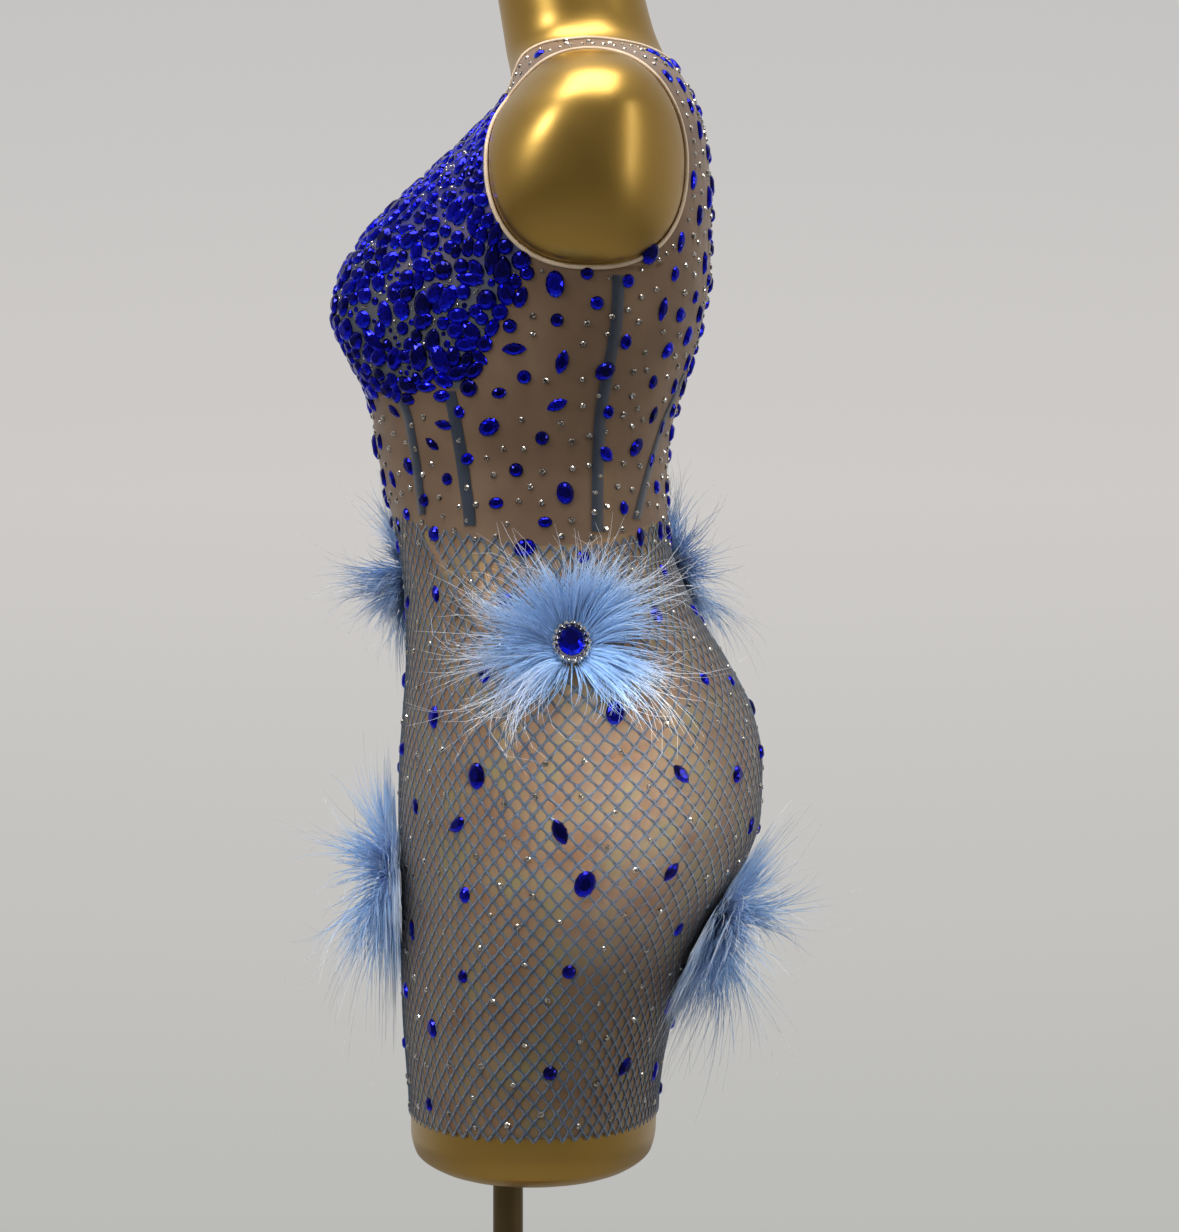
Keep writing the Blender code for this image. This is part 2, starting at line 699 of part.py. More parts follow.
def turned(name, profile, finish, sides):
    """A body turned about the pole's axis, from (radius, height) pairs."""
    rings = []
    for radius, height in profile:
        ring = []
        for k in range(sides):
            angle = math.tau * k / sides
            ring.append(Vector((radius * math.cos(angle), radius * math.sin(angle), height)))
        rings.append(ring)
    bm = bmesh.new()
    tube_between(bm, rings)
    return place_mesh(name, bm, finish)


def stand():
    """The base plate with its raised collar, and the pole that carries the form."""
    turned(
        "base_plate",
        (
            (BASE_RADIUS, 0.0),
            (BASE_RADIUS, BASE_THICK - BASE_BEVEL),
            (BASE_RADIUS - BASE_BEVEL, BASE_THICK),
            (COLLAR_RADIUS + 0.004, BASE_THICK),
            (COLLAR_RADIUS, BASE_THICK + 0.004),
            (COLLAR_RADIUS, COLLAR_HEIGHT + BASE_THICK),
            (COLLAR_RADIUS - 0.003, COLLAR_HEIGHT + BASE_THICK + 0.003),
        ),
        GOLD,
        40,
    )
    foot = COLLAR_HEIGHT + BASE_THICK + 0.003 + SEAM_GAP
    turned(
        "stand_pole",
        ((POLE_RADIUS, foot), (POLE_RADIUS, SECTION_HEIGHTS[0] - SEAM_GAP)),
        GOLD,
        24,
    )


def seat_height(panels, point, axes):
    """How far the cloth's highest place under a rosette's backing lies above the plane through point."""
    across, up, out = axes
    radius = BACKING_RINGS[-1][0]
    highest = 0.0
    for tree in panels:
        for share in (0.0, 0.5, 1.0):
            for k in range(12):
                angle = math.tau * k / 12
                spot = point + (across * math.cos(angle) + up * math.sin(angle)) * radius * share
                hit = tree.ray_cast(spot + out * 0.03, -out, 0.06)[0]
                if hit is not None:
                    highest = max(highest, (hit - point).dot(out))
    return highest


def rosette_frame(rosette):
    """A rosette's place on the cloth and its axes: across, up and out."""
    angle, height = math.radians(rosette["angle"]), rosette["height"]
    out = outward(angle, height)
    across = Vector((0, 0, 1)).cross(out).normalized()
    return on_body(angle, height), (across, out.cross(across).normalized(), out)


def feather_rosette(rosette, panels, rng):
    """A domed backing with a tapering lock of feather on each of its sloping faces, as one body."""
    point, axes = rosette_frame(rosette)
    across, up, out = axes
    base = point + out * (seat_height(panels, point, axes) + SEAM_GAP)
    bm = bmesh.new()
    rings = []
    for row, (radius, rise) in enumerate(BACKING_RINGS):
        ring = []
        for k in range(BACKING_SIDES):
            angle = math.tau * (k + 0.5 * (row % 2)) / BACKING_SIDES
            spot = base + (across * math.cos(angle) + up * math.sin(angle)) * radius + out * rise
            ring.append(bm.verts.new(spot))
        rings.append(ring)
    floor = []
    for vert in rings[-1]:
        floor.append(bm.verts.new(vert.co - out * BACKING_RINGS[-1][1]))
    bm.faces.new(rings[0])
    bm.faces.new(floor[::-1])
    roots = []
    for k in range(BACKING_SIDES):
        after = (k + 1) % BACKING_SIDES
        bm.faces.new((rings[2][k], rings[2][after], floor[after], floor[k]))
        inner, middle, outer = rings
        roots.append(((inner[k], middle[k], inner[after]), LOCK_ELEVATIONS["inner"]))
        roots.append(((middle[k], middle[after], inner[after]), LOCK_ELEVATIONS["middle"]))
        roots.append(((outer[after], middle[after], middle[k]), LOCK_ELEVATIONS["outer"]))
        bm.faces.new((outer[k], outer[after], middle[k]))
    for corners, elevation in roots:
        grow_lock(bm, corners, elevation, base, axes, rosette, rng)
    return place_mesh("rosette_" + rosette["name"], bm, BLUE_FEATHER), base


def grow_lock(bm, corners, elevation, base, axes, rosette, rng):
    """One lock of three sides on a root triangle: out to its knee, then bending over to a point."""
    across, up, out = axes
    root = sum((v.co for v in corners), Vector()) / 3
    flat = (root - base) - out * (root - base).dot(out)
    stray = LOCK_UNEVEN["heading"]
    heading = math.atan2(flat.dot(up), flat.dot(across)) + rng.uniform(-stray, stray)
    radial = across * math.cos(heading) + up * math.sin(heading)
    rise = math.radians(elevation + rng.uniform(-LOCK_UNEVEN["elevation"], LOCK_UNEVEN["elevation"]))
    favour = 1 + rosette["longer_across"] * math.cos(heading) - LONGER_DOWN * math.sin(heading)
    length = (rosette["reach"] - flat.length) * favour * rng.uniform(LOCK_UNEVEN["length"], 1.0)
    knee = root + (radial * math.cos(rise) + out * math.sin(rise)) * length * LOCK_KNEE
    bent = rise - LOCK_BEND
    tip = knee + (radial * math.cos(bent) + out * math.sin(bent)) * length * (1 - LOCK_KNEE)
    tip.z -= LOCK_SAG * length
    middle_ring = []
    for vert in corners:
        aside = vert.co - root
        aside -= (knee - root).normalized() * aside.dot((knee - root).normalized())
        middle_ring.append(bm.verts.new(knee + aside.normalized() * LOCK_THICK))
    point = bm.verts.new(tip)
    for k in range(3):
        bm.faces.new((corners[k - 1], corners[k], middle_ring[k], middle_ring[k - 1]))
        bm.faces.new((middle_ring[k - 1], middle_ring[k], point))


def brooch(rosette, base):
    """An oval stone in a rimmed setting on a rosette's middle."""
    _, (across, up, out) = rosette_frame(rosette)
    seat = base + out * (BACKING_RINGS[0][1] + SEAM_GAP)
    rings = []
    for share, rise in BROOCH_PROFILE:
        ring = []
        for k in range(BROOCH_SIDES):
            angle = math.tau * k / BROOCH_SIDES
            spot = across * math.cos(angle) * BROOCH_HALF_WIDTH + up * math.sin(angle) * BROOCH_HALF_HEIGHT
            ring.append(seat + spot * share + out * rise)
        rings.append(ring)
    bm = bmesh.new()
    tube_between(bm, rings)
    return place_mesh("brooch_" + rosette["name"], bm, BLUE_GLASS)


def tree_of(obj):
    bm = bmesh.new()
    bm.from_mesh(obj.data)
    tree = BVHTree.FromBMesh(bm)
    bm.free()
    return tree


def main():
    clear_scene()
    stand()
    form_torso()
    panels = [
        cloth_panel("bodice_front", bodice_rows(**BODICE_FRONT), NUDE_MESH, bodice_stone),
        cloth_panel("bodice_back", bodice_rows(**BODICE_BACK), NUDE_MESH, bodice_stone),
        skirt_panel("skirt_front", True),
        skirt_panel("skirt_back", False),
    ]
    trees = [tree_of(panel) for panel in panels]
    neck_binding("neck_binding")
    for label, side in (("left", 1), ("right", -1)):
        form_cap("form_cap_" + label, side)
        armhole_binding("armhole_binding_" + label, side)
        for row in TAPES:
            boning_tape("boning_tape_" + row[0] + "_" + label, side, row, trees)
    rng = random.Random(7)
    for row in ROSETTES:
        rosette = dict(zip(ROSETTE_COLUMNS, row))
        _, base = feather_rosette(rosette, trees, rng)
        brooch(rosette, base)


main()
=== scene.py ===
"""The looks of a sheer stage dress with feather rosettes, on its gold dress form and stand.

Metres, +Z up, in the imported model's frame: the front faces -Y and the wearer's left is +X.
Angles go round the body from the centre front (0) over the left (90 degrees) to the back (180).
"""

import math

import bmesh
import bpy
import numpy as np
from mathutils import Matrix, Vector


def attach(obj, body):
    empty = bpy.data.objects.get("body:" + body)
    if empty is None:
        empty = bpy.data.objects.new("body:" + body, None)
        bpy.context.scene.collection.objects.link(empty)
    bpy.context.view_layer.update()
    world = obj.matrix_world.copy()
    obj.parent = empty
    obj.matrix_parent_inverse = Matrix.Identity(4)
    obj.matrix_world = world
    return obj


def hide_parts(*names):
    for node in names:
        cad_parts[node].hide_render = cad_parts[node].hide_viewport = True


# The photograph's frame, and the camera that took it: level, on the wearer's left.
PHOTO_WIDTH = 1179
PHOTO_HEIGHT = 1232
FOCAL_PX = 3000
CAMERA_X = 2.0
CAMERA_Y = 0.0543
CAMERA_HEIGHT = 1.0093
SENSOR_MM = 36.0

# The outer face of the cloth, as level sections: half width, and the front's and the back's place in Y.
SECTION_COLUMNS = ("height", "half_width", "front", "back", "power")
SECTIONS = (
    (0.6500, 0.1150, -0.0340, 0.0710, 2.20),
    (0.6530, 0.1345, -0.0520, 0.0880, 2.20),
    (0.6600, 0.1450, -0.0625, 0.0970, 2.20),
    (0.6720, 0.1495, -0.0650, 0.0995, 2.20),
    (0.6900, 0.1515, -0.0650, 0.1000, 2.20),
    (0.7130, 0.1545, -0.0665, 0.1025, 2.20),
    (0.7470, 0.1590, -0.0690, 0.1100, 2.20),
    (0.7800, 0.1635, -0.0700, 0.1210, 2.20),
    (0.8130, 0.1680, -0.0707, 0.1375, 2.20),
    (0.8470, 0.1710, -0.0715, 0.1570, 2.20),
    (0.8800, 0.1710, -0.0718, 0.1675, 2.20),
    (0.9130, 0.1680, -0.0713, 0.1685, 2.20),
    (0.9470, 0.1610, -0.0690, 0.1618, 2.20),
    (0.9800, 0.1510, -0.0670, 0.1453, 2.20),
    (1.0200, 0.1350, -0.0678, 0.1211, 2.25),
    (1.0600, 0.1225, -0.0730, 0.1073, 2.25),
    (1.0960, 0.1215, -0.0820, 0.1057, 2.30),
    (1.1300, 0.1280, -0.0880, 0.1083, 2.30),
    (1.1600, 0.1350, -0.0907, 0.1162, 2.35),
    (1.1970, 0.1420, -0.0867, 0.1273, 2.40),
    (1.2400, 0.1480, -0.0775, 0.1345, 2.40),
    (1.2800, 0.1530, -0.0580, 0.1348, 2.40),
    (1.3200, 0.1560, -0.0265, 0.1318, 2.35),
    (1.3400, 0.1510, -0.0075, 0.1262, 2.30),
    (1.3550, 0.1380, 0.0000, 0.1203, 2.20),
    (1.3680, 0.1120, 0.0010, 0.1137, 2.10),
    (1.3770, 0.0800, -0.0005, 0.1080, 2.00),
    (1.3840, 0.0610, -0.0020, 0.1045, 2.00),
    (1.4000, 0.0540, -0.0045, 0.0980, 2.00),
    (1.4370, 0.0520, -0.0105, 0.0890, 2.00),
    (1.4680, 0.0510, -0.0150, 0.0840, 2.00),
    (1.4760, 0.0450, -0.0095, 0.0775, 2.00),
)

# The cup on each side of the centre front, as a rise towards the front.
CUP_X = 0.083
CUP_HEIGHT = 1.212
CUP_RISE = 0.0355
CUP_REACH_IN = 0.083
CUP_REACH_OUT = 0.066
CUP_REACH_UP = 0.115
CUP_REACH_DOWN = 0.082

# The cloth's edges.
HEM_HEIGHT = 0.684
WAIST_SIDE_HEIGHT = 1.053
WAIST_CENTRE_RISE = 0.022
NECK_TOP = 1.3815
NECK_DROP_FRONT = 0.057
NECK_DROP_BACK = 0.009
ARMHOLE_Y = 0.0528
ARMHOLE_HEIGHT = 1.2952
ARMHOLE_HALF_DEPTH = 0.0617
ARMHOLE_HALF_HEIGHT = 0.0689
ARMHOLE_LOW_POWER = 2.35
ARMHOLE_EDGE = 1.04
CLOTH_EDGE = 1.022

# The panels' meshes: rows and columns, and the rows that start the armhole and the neckline.
BODICE_FRONT = {"is_front": True, "rows": 138, "columns": 60, "underarm_row": 54, "strap_row": 96}
BODICE_BACK = {"is_front": False, "rows": 108, "columns": 48, "underarm_row": 48, "strap_row": 78}
SKIRT_ROWS = 96
SKIRT_COLUMNS = 64
HEM_TURN = 0.0016
HEM_TURN_RISE = 0.0010
ROUND_STEPS = 720
SIDES = (("left", 1), ("right", -1))

# The studio. The surrounding goes from straight down (0) over eye level (0.5) to straight up (1).
FLOOR_RADIUS = 2.85
FLOOR_SIDES = 96
SURROUNDING = (
    (0.30, (0.12, 0.12, 0.12)),
    (0.40, (0.50, 0.50, 0.485)),
    (0.52, (0.62, 0.60, 0.585)),
    (0.62, (0.56, 0.55, 0.54)),
    (0.78, (0.60, 0.59, 0.58)),
    (1.00, (1.0, 0.99, 0.97)),
)
ROOM_SIDE_SHARE = 0.36

# The lights. One serves everything, the cloth without a highlight on the gold, or the gold's gloss alone.
LIGHT_COLUMNS = ("name", "place", "target", "size", "spread", "watts", "colour", "serves")
LIGHTS = (
    ("ceiling", (0.55, 0.0, 2.95), (0.0, 0.05, 1.2), (1.9, 1.0), 180, 50, (1.0, 0.99, 0.97), "all"),
    ("spot", (1.30, -1.60, 2.20), (0.1, 0.0, 1.2), (0.44, 0.44), 180, 17, (0.98, 0.99, 1.0), "all"),
    ("front", (1.75, -1.10, 1.80), (0.1, 0.0, 1.10), (1.0, 1.0), 60, 1.9, (0.98, 0.99, 1.0), "cloth"),
    ("key", (1.25, 0.52, 1.08), (0.17, 0.076, 0.908), (0.12, 0.12), 9, 0.13, (1.0, 0.98, 0.94), "cloth"),
    ("back", (-0.35, 2.20, 1.45), (0.0, 0.1, 1.0), (0.9, 1.4), 100, 8, (1.0, 0.98, 0.95), "cloth"),
    ("strip", (0.80, 2.10, 1.50), (0.15, 0.06, 1.28), (0.28, 1.40), 180, 7, (1.0, 1.0, 0.95), "gloss"),
)

# The dress form, close behind the cloth.
FORM_DEPTH = 0.0011
FORM_SIDES = 144
FORM_ROWS = 150
FORM_LOW_ROWS = 20
FORM_END_SHARES = (0.97, 0.85, 0.55, 0.15)
CAP_RISE = 0.027
CAP_EDGE = 0.985
CAP_SIDES = 96
CAP_RINGS = 26
CAP_LIFT = 0.0006
CAP_RIM = (-0.0012, -0.0034)
POLE_RADIUS = 0.0100
BASE_RADIUS = 0.170
BASE_THICK = 0.012
BASE_BEVEL = 0.003
COLLAR_RADIUS = 0.019
COLLAR_HEIGHT = 0.022
COLLAR_FOOT = ((0.004, 0.0), (0.001, 0.0015), (0.0, 0.004))

# Creases in the cloth: from one place to another, as angle and height, with their half width and rise.
CREASE_COLUMNS = ("from_angle", "from_height", "to_angle", "to_height", "half_width", "rise")
CREASES = (
    (40, 1.072, 68, 0.998, 0.0036, 0.0036),
    (46, 1.070, 72, 0.994, 0.0030, -0.0008),
    (51, 1.066, 78, 0.988, 0.0042, 0.0018),
    (24, 1.058, 48, 0.972, 0.0060, 0.0011),
    (120, 1.050, 98, 1.012, 0.0045, 0.0012),
    (146, 1.060, 126, 1.018, 0.0060, 0.0015),
    (172, 1.064, 150, 1.026, 0.0050, -0.0009),
    (-38, 1.062, -70, 0.992, 0.0055, 0.0018),
    (-30, 1.050, -52, 0.978, 0.0050, 0.0010),
    (-128, 1.054, -104, 1.000, 0.0050, 0.0014),
    (-158, 1.062, -136, 1.022, 0.0055, 0.0013),
    (70, 0.735, 96, 0.716, 0.0070, 0.0009),
    (128, 0.752, 152, 0.738, 0.0080, 0.0011),
    (-84, 0.742, -112, 0.722, 0.0080, 0.0010),
)

# The plain finishes: two shades and how finely they mix, roughness, an uneven gloss as scale, low and high,
# and a grain as scale, strength and depth.
FINISH_COLUMNS = ("name", "shades", "scale", "roughness", "gloss", "grain", "more")
FINISHES = (
    ("gold_skin", ((0.41, 0.248, 0.055), (0.45, 0.278, 0.066)), 9, 0.30, (60, 0.33, 0.41),
     (700, 0.06, 0.0004), {"Metallic": 1.0, "Coat Weight": 0.12, "Coat Roughness": 0.20}),
    ("stand_metal", ((0.105, 0.072, 0.030), (0.14, 0.098, 0.044)), 14, 0.32, (90, 0.26, 0.42),
     (500, 0.05, 0.0003), {"Metallic": 1.0}),
    ("net_cord", ((0.056, 0.088, 0.145), (0.090, 0.130, 0.185)), 40, 0.60, None, (1800, 0.3, 0.0003),
     {"Alpha": 0.68, "Sheen Weight": 0.3}),
    ("blue_tape", ((0.006, 0.016, 0.034), (0.011, 0.025, 0.048)), 45, 0.55, None, (1500, 0.3, 0.0003),
     {"Alpha": 0.82, "Sheen Weight": 0.3}),
    ("binding_cloth", ((0.46, 0.34, 0.22), (0.60, 0.47, 0.33)), 60, 0.66, None, (1300, 0.4, 0.0004),
     {"Sheen Weight": 0.3}),
)
UNEVEN_STOPS = (0.3, 0.7)
SILVER = ("silver", (0.66, 0.65, 0.62), 1.0, 400, 0.16, 0.30)
FLOOR_FINISH = ("floor_finish", (0.30, 0.295, 0.285), 0.0, 3, 0.75, 0.85)

# The sheer meshes: three shades, how finely they mix, and how much they hide.
MESH_COLUMNS = ("name", "colours", "grain", "alpha")
MESHES = (
    ("nude_mesh", ((0.146, 0.087, 0.053), (0.173, 0.106, 0.066), (0.206, 0.130, 0.080)), 22, 0.74),
    ("skirt_mesh", ((0.218, 0.115, 0.066), (0.250, 0.160, 0.097), (0.226, 0.187, 0.092)), 48, 0.66),
)

# Glass with a foil back: its lacquer, and its shades from the darkest facet to the brightest. The facets'
# shades are painted light: dark facets are painted shade, bright ones painted glints.
GLASS_COLUMNS = ("name", "coat", "stops")
GLASSES = (
    ("blue_glass", 0.20, (
        (0.0, (0.0010, 0.0010, 0.045)), (0.20, (0.0012, 0.0012, 0.17)), (0.45, (0.002, 0.003, 0.62)),
        (0.70, (0.004, 0.010, 0.92)), (1.0, (0.03, 0.09, 1.0)),
    )),
    # Small clear stones: facets painted at random from dark to near white, as painted shade and painted
    # glints.
    ("clear_glass", 1.0, (
        (0.0, (0.035, 0.027, 0.02)), (0.4, (0.22, 0.18, 0.14)),
        (0.75, (0.60, 0.56, 0.50)), (1.0, (0.97, 0.96, 0.94)),
    )),
    # The ring's clear stones: the same clear glass painted brighter, as painted sparkle.
    ("bright_glass", 1.0, (
        (0.0, (0.16, 0.15, 0.14)), (0.35, (0.55, 0.54, 0.52)),
        (0.7, (0.90, 0.90, 0.88)), (1.0, (1.0, 1.0, 1.0)),
    )),
)

# The feathers' colours from root to tip, and what the shade of a tuft makes of them.
FEATHER_STOPS = (
    (0.0, (0.26, 0.49, 0.88)), (0.42, (0.34, 0.57, 0.92)),
    (0.62, (0.50, 0.66, 0.91)), (0.95, (0.86, 0.87, 0.91)),
)
FEATHER_LIGHTS = ((0.0, (0.62, 0.68, 0.76)), (1.0, (1.0, 1.0, 1.0)))

# The mesh between the close stones, painted darker and bluer from the cups up to the chest: painted shade
# and painted blue light from the stones.
BIB_GAP_PAINTED_SHADE = ((0.0, (0.070, 0.082, 0.098)), (0.5, (0.040, 0.047, 0.130)), (1.0, (0.005, 0.007, 0.150)))
BIB_GAP_SHADE_HEIGHTS = (1.200, 1.268)

# The net: diamonds round the skirt and rows of them from the hem to the waist.
NET_AROUND = 84
NET_ROWS = 31
NET_HALF_WIDTH = 0.0009
NET_KNOT_HALF_WIDTH = 0.0017
NET_HALF_THICK = 0.00028
NET_LIFT = 0.0004
NET_UNEVEN = 0.00022
NET_HEM_CLEAR = 0.0008
NET_GIRTH = 0.85
SKIRT_MIDDLE = 0.95
SIDE_LINE_Y = 0.030

# The boning tapes on the left half: angle and height at the top, the middle and the bottom.
TAPE_COLUMNS = ("name", "top", "middle", "low")
TAPES = (
    ("front", (45.5, 1.150), (48.5, 1.108), (45.0, 1.074)),
    ("side_front", (67.5, 1.150), (70.5, 1.105), (68.5, 1.066)),
    ("side_back", (111.8, 1.221), (117.5, 1.140), (115.2, 1.0625)),
    ("back", (166.0, 1.168), (152.0, 1.121), (136.5, 1.071)),
)
TAPE_WIDTH = 0.0085
TAPE_PROFILE = ((-1, 0.0005), (-0.92, 0.0009), (0, 0.0008), (0.92, 0.0009), (1, 0.0005))

# The bindings, as bands along the cloth's edges.
ARMHOLE_BAND = 1.018
NECK_BAND_RISE = 0.0012
BAND_LIFT = 0.0003
BAND_HALF_WIDTH = 0.0015
BAND_HALF_THICK = 0.0011
BAND_SIDES = 8

# The blue stones that the photograph shows one by one: middle in pixels, size, and lean to the right.
STONE_COLUMNS = ("kind", "photo_x", "photo_y", "width_mm", "length_mm", "lean")
SEEN_STONES = (
    ("oval", 477, 776, 13, 17, -12),
    ("pear", 457, 825, 9, 15, -118),
    ("oval", 465, 895, 9, 10.5, -8),
    ("navette", 560, 832, 9.5, 17, -24),
    ("oval", 585, 884, 13, 17, 24),
    ("navette", 681, 774, 9, 15.5, -46),
    ("navette", 671, 872, 8.5, 15, 42),
    ("oval", 615, 712, 12, 17, 12),
    ("oval", 678, 929, 8, 10, 22),
    ("round", 569, 972, 9, 9, 0),
    ("oval", 433, 1028, 10, 12.5, -14),
    ("round", 550, 1073, 9, 9, 0),
    ("navette", 413, 930, 8, 14, -20),
    ("pear", 667, 1005, 8, 13, 12),
    ("oval", 704, 679, 8, 10, -24),
    ("oval", 485, 675, 8.5, 11, 30),
    ("oval", 505, 600, 10, 12.5, -34),
    ("navette", 436, 594, 7.5, 13, -28),
    ("round", 583, 557, 9, 9, 0),
    ("oval", 525, 548, 12, 14, 74),
    ("oval", 640, 537, 8, 13, 16),
    ("oval", 663, 571, 8, 10, -20),
    ("round", 587, 273, 8.5, 8.5, 0),
    ("oval", 555, 284, 12, 17, -4),
    ("round", 527, 273, 9.5, 9.5, 0),
    ("pear", 521, 297, 8.5, 14, 24),
    ("round", 597, 303, 9, 9, 0),
    ("round", 510, 326, 9, 9, 0),
    ("round", 557, 320, 8.5, 8.5, 0),
    ("round", 628, 281, 9, 9, 0),
    ("oval", 650, 253, 12.5, 15.5, 32),
    ("oval", 675, 274, 7.5, 10, 6),
    ("navette", 663, 309, 8, 16, 4),
    ("oval", 626, 342, 8.5, 10, 0),
    ("navette", 514, 349, 8, 15.5, 88),
    ("navette", 562, 362, 8.5, 15.5, 14),
    ("oval", 605, 371, 11.5, 15, 62),
    ("round", 524, 377, 9, 9, 0),
    ("oval", 653, 382, 8, 9.5, 0),
    ("navette", 557, 405, 7.5, 14, 66),
    ("oval", 499, 393, 7, 9.5, 82),
    ("round", 608, 412, 9, 9, 0),
    ("navette", 653, 415, 7.5, 13, 22),
    ("oval", 489, 427, 11, 14, 58),
    ("round", 542, 438, 9, 9, 0),
    ("oval", 467, 459, 8, 9, 70),
    ("round", 516, 470, 9, 9, 0),
    ("oval", 565, 493, 11.5, 14.5, -8),
    ("navette", 606, 454, 9, 13, -52),
    ("oval", 409, 466, 9, 13, -36),
    ("round", 447, 479, 8, 8, 0),
    ("round", 424, 500, 9, 9, 0),
    ("oval", 496, 503, 7.5, 9.5, 84),
    ("oval", 545, 522, 7, 9, 86),
    ("oval", 410, 399, 8, 13, 98),
    ("oval", 442, 396, 8, 13, 88),
    ("oval", 459, 412, 7.5, 8.5, -20),
    ("navette", 444, 425, 6.5, 14, 102),
    ("navette", 396, 411, 6.5, 13, 128),
    ("navette", 432, 444, 6.5, 12, 128),
    ("navette", 393, 479, 7.5, 13, -25),
    ("navette", 399, 526, 6, 13, -15),
    ("oval", 681, 242, 7, 14, 12),
    ("navette", 704, 263, 8.5, 15, -5),
    ("oval", 695, 297, 8, 9, 20),
    ("oval", 687, 336, 10, 14, 20),
    ("navette", 661, 427, 7, 13, 28),
    ("navette", 651, 460, 7, 12, 28),
    ("oval", 656, 487, 8.5, 9, 0),
    ("oval", 624, 508, 7.5, 9, 0),
    ("oval", 693, 180, 8, 13, 8),
    ("oval", 699, 215, 9, 14, 5),
    ("oval", 699, 130, 8, 13, -6),
    ("oval", 653, 53, 7.5, 11, -52),
    ("navette", 667, 63, 7, 12, -40),
    ("oval", 681, 85, 7.5, 11.5, -24),
    ("oval", 690, 106, 7.5, 11, -10),
)

# The close stones over the cups and up to the straps.
BIB_LOW = 1.153
BIB_TOP = 1.338
BIB_LOW_DEGREES = 75
BIB_DEGREES_PER_METRE = 150
BIB_WAVE = 0.0035
BIB_TRIES = 60000
BIB_STEPS = 80
BIB_PUSH = 0.30
BIB_MOST_TWIST = 0.2
BIB_MOST_TURN = 0.02
BIB_MOST_RISE = 0.003
BIB_PAIR_STEPS = 7
BIB_PAIR_SLACK = 0.003
FIELD_CHUNK = 1500
BIB_CROWDING = 0.735
BIB_OVERLAP = -0.0036
BIB_SWELL = 1.05
BIB_EDGE_CLEAR = 0.0052
BIB_KINDS = ("oval", "oval", "oval", "oval", "oval", "navette", "pear", "round", "round")
BIB_WIDTHS = (0.0084, 0.0096, 0.0108, 0.0120)
BIB_LEANS = (0, 0, 0, 0, 90, 45, -45)
BIB_SIZE_HEIGHTS = (1.15, 1.25, 1.29, 1.36)
BIB_SIZE_SHARES = (1.0, 0.96, 0.72, 0.62)
BIB_FILLERS = ((0.0046, 0.0056, 9000), (0.0032, 0.0042, 14000))
STONE_GAP = 0.0006
FILLER_GAP = 0.00024
BIB_LEAN_SPREAD = 14
BIB_NEAR = 0.03
BIB_NEAR_Y = 0.06

# A cut stone's rings, from the cloth to the table: half steps of turn, share of outline, share of height.
CUT_RINGS = ((0, 0.94, 0.0), (0, 1.0, 0.30), (1, 0.80, 0.72), (0, 0.50, 1.0))

# Where stones are scattered: the part, lowest and highest place, how many are tried, and the least gap.
SCATTER_KINDS = ("oval", "oval", "round", "navette", "pear", "round")
SCATTER_BANDS = (
    ("bodice", 1.055, NECK_TOP, 5200, 0.0125),
    ("skirt", HEM_HEIGHT + 0.012, 1.055, 1600, 0.034),
)
SCATTER_EDGE_CLEAR = 0.009
SCATTER_WIDTHS = (0.0078, 0.0105)

# The angles that the photograph shows, and how the right side's stones differ from the left one's.
SEEN_DEGREES = (62, 128)
LIKE_DEGREES = 55
LIKE_TURN = 0.05
LIKE_RISE = 0.004
LIKE_GAP = 0.006

# The small clear stones: where they are tried, and their widths at edges, among close stones and elsewhere.
SMALL_BANDS = (
    ("bodice", 1.056, NECK_TOP, 15000, 0.0062),
    ("skirt", HEM_HEIGHT + 0.006, 1.054, 6000, 0.0150),
)
SMALL_EDGE_CLEAR = 0.006
EDGE_WIDTHS = (0.0026, 0.0040)
CLOSE_WIDTHS = (0.0020, 0.0029)
CLOSE_GAP = -0.0002
SMALL_WIDTHS = (0.0037, 0.0050)

# The feather rosettes: where each is sewn on.
ROSETTE_COLUMNS = ("name", "angle", "height", "reach", "longer_across", "thin_heading")
ROSETTES = (
    ("hip_left", 93, 0.991, 0.070, 0.42, -85),
    ("hip_front", -24, 1.036, 0.074, 0.06, -70),
    ("hip_back", 204, 1.036, 0.074, 0.06, -110),
    ("thigh_front", 10, 0.842, 0.103, 0.02, 70),
    ("thigh_back", 163, 0.815, 0.099, 0.02, 100),
    ("thigh_right", -92, 0.840, 0.080, 0.25, -80),
)
ROSETTE_CLEAR = 0.019
BARBS = 2100
BARB_POINTS = 7
TUFTS = 48
TUFT_LIFTS = (6, 10, 15, 20, 28, 38, 50, 62)
THIN_HALF_WIDTH = 32
THIN_SHARE = 0.85
UPRIGHT_LOSS = 1.5
BARB_SHARES = (0.48, 0.38, 0.14)
BARB_SPREADS = (0.26, 0.11, 0.16)
BARB_GATHERS = (0.40, 1.40, 1.00)
BARB_SWIRLS = (0.22, 0.24, 0.70)
BARB_LENGTHS = ((0.30, 0.56), (0.52, 0.88), (0.80, 1.14))
BARB_THICKS = (0.00036, 0.00030, 0.00016)
BARB_TIP = 0.00005
BARB_UNDER_LIFT = math.radians(12)
TUFT_LIFT_SPREAD = 5
TUFT_REACHES = (0.52, 1.06)
TUFT_SWIRL = 0.35
TUFT_BEND = (26, 12)
BARB_LIFTS = (0.02, 1.25)
BARB_UP_LOSS = 0.10
BARB_BEND_SPREAD = 12
BARB_SAGS = (0.05, 0.40)
BARB_RIMS = (1.00, 1.16)
BARB_UNDER_RIMS = (0.5, 1.0)
BARB_ROOTS = (0.0010, 0.0042)
BARB_BEND_RATE = 1.5
BARB_LEAST_RISE = 0.015
BARB_SWIRL_POWER = 2.4
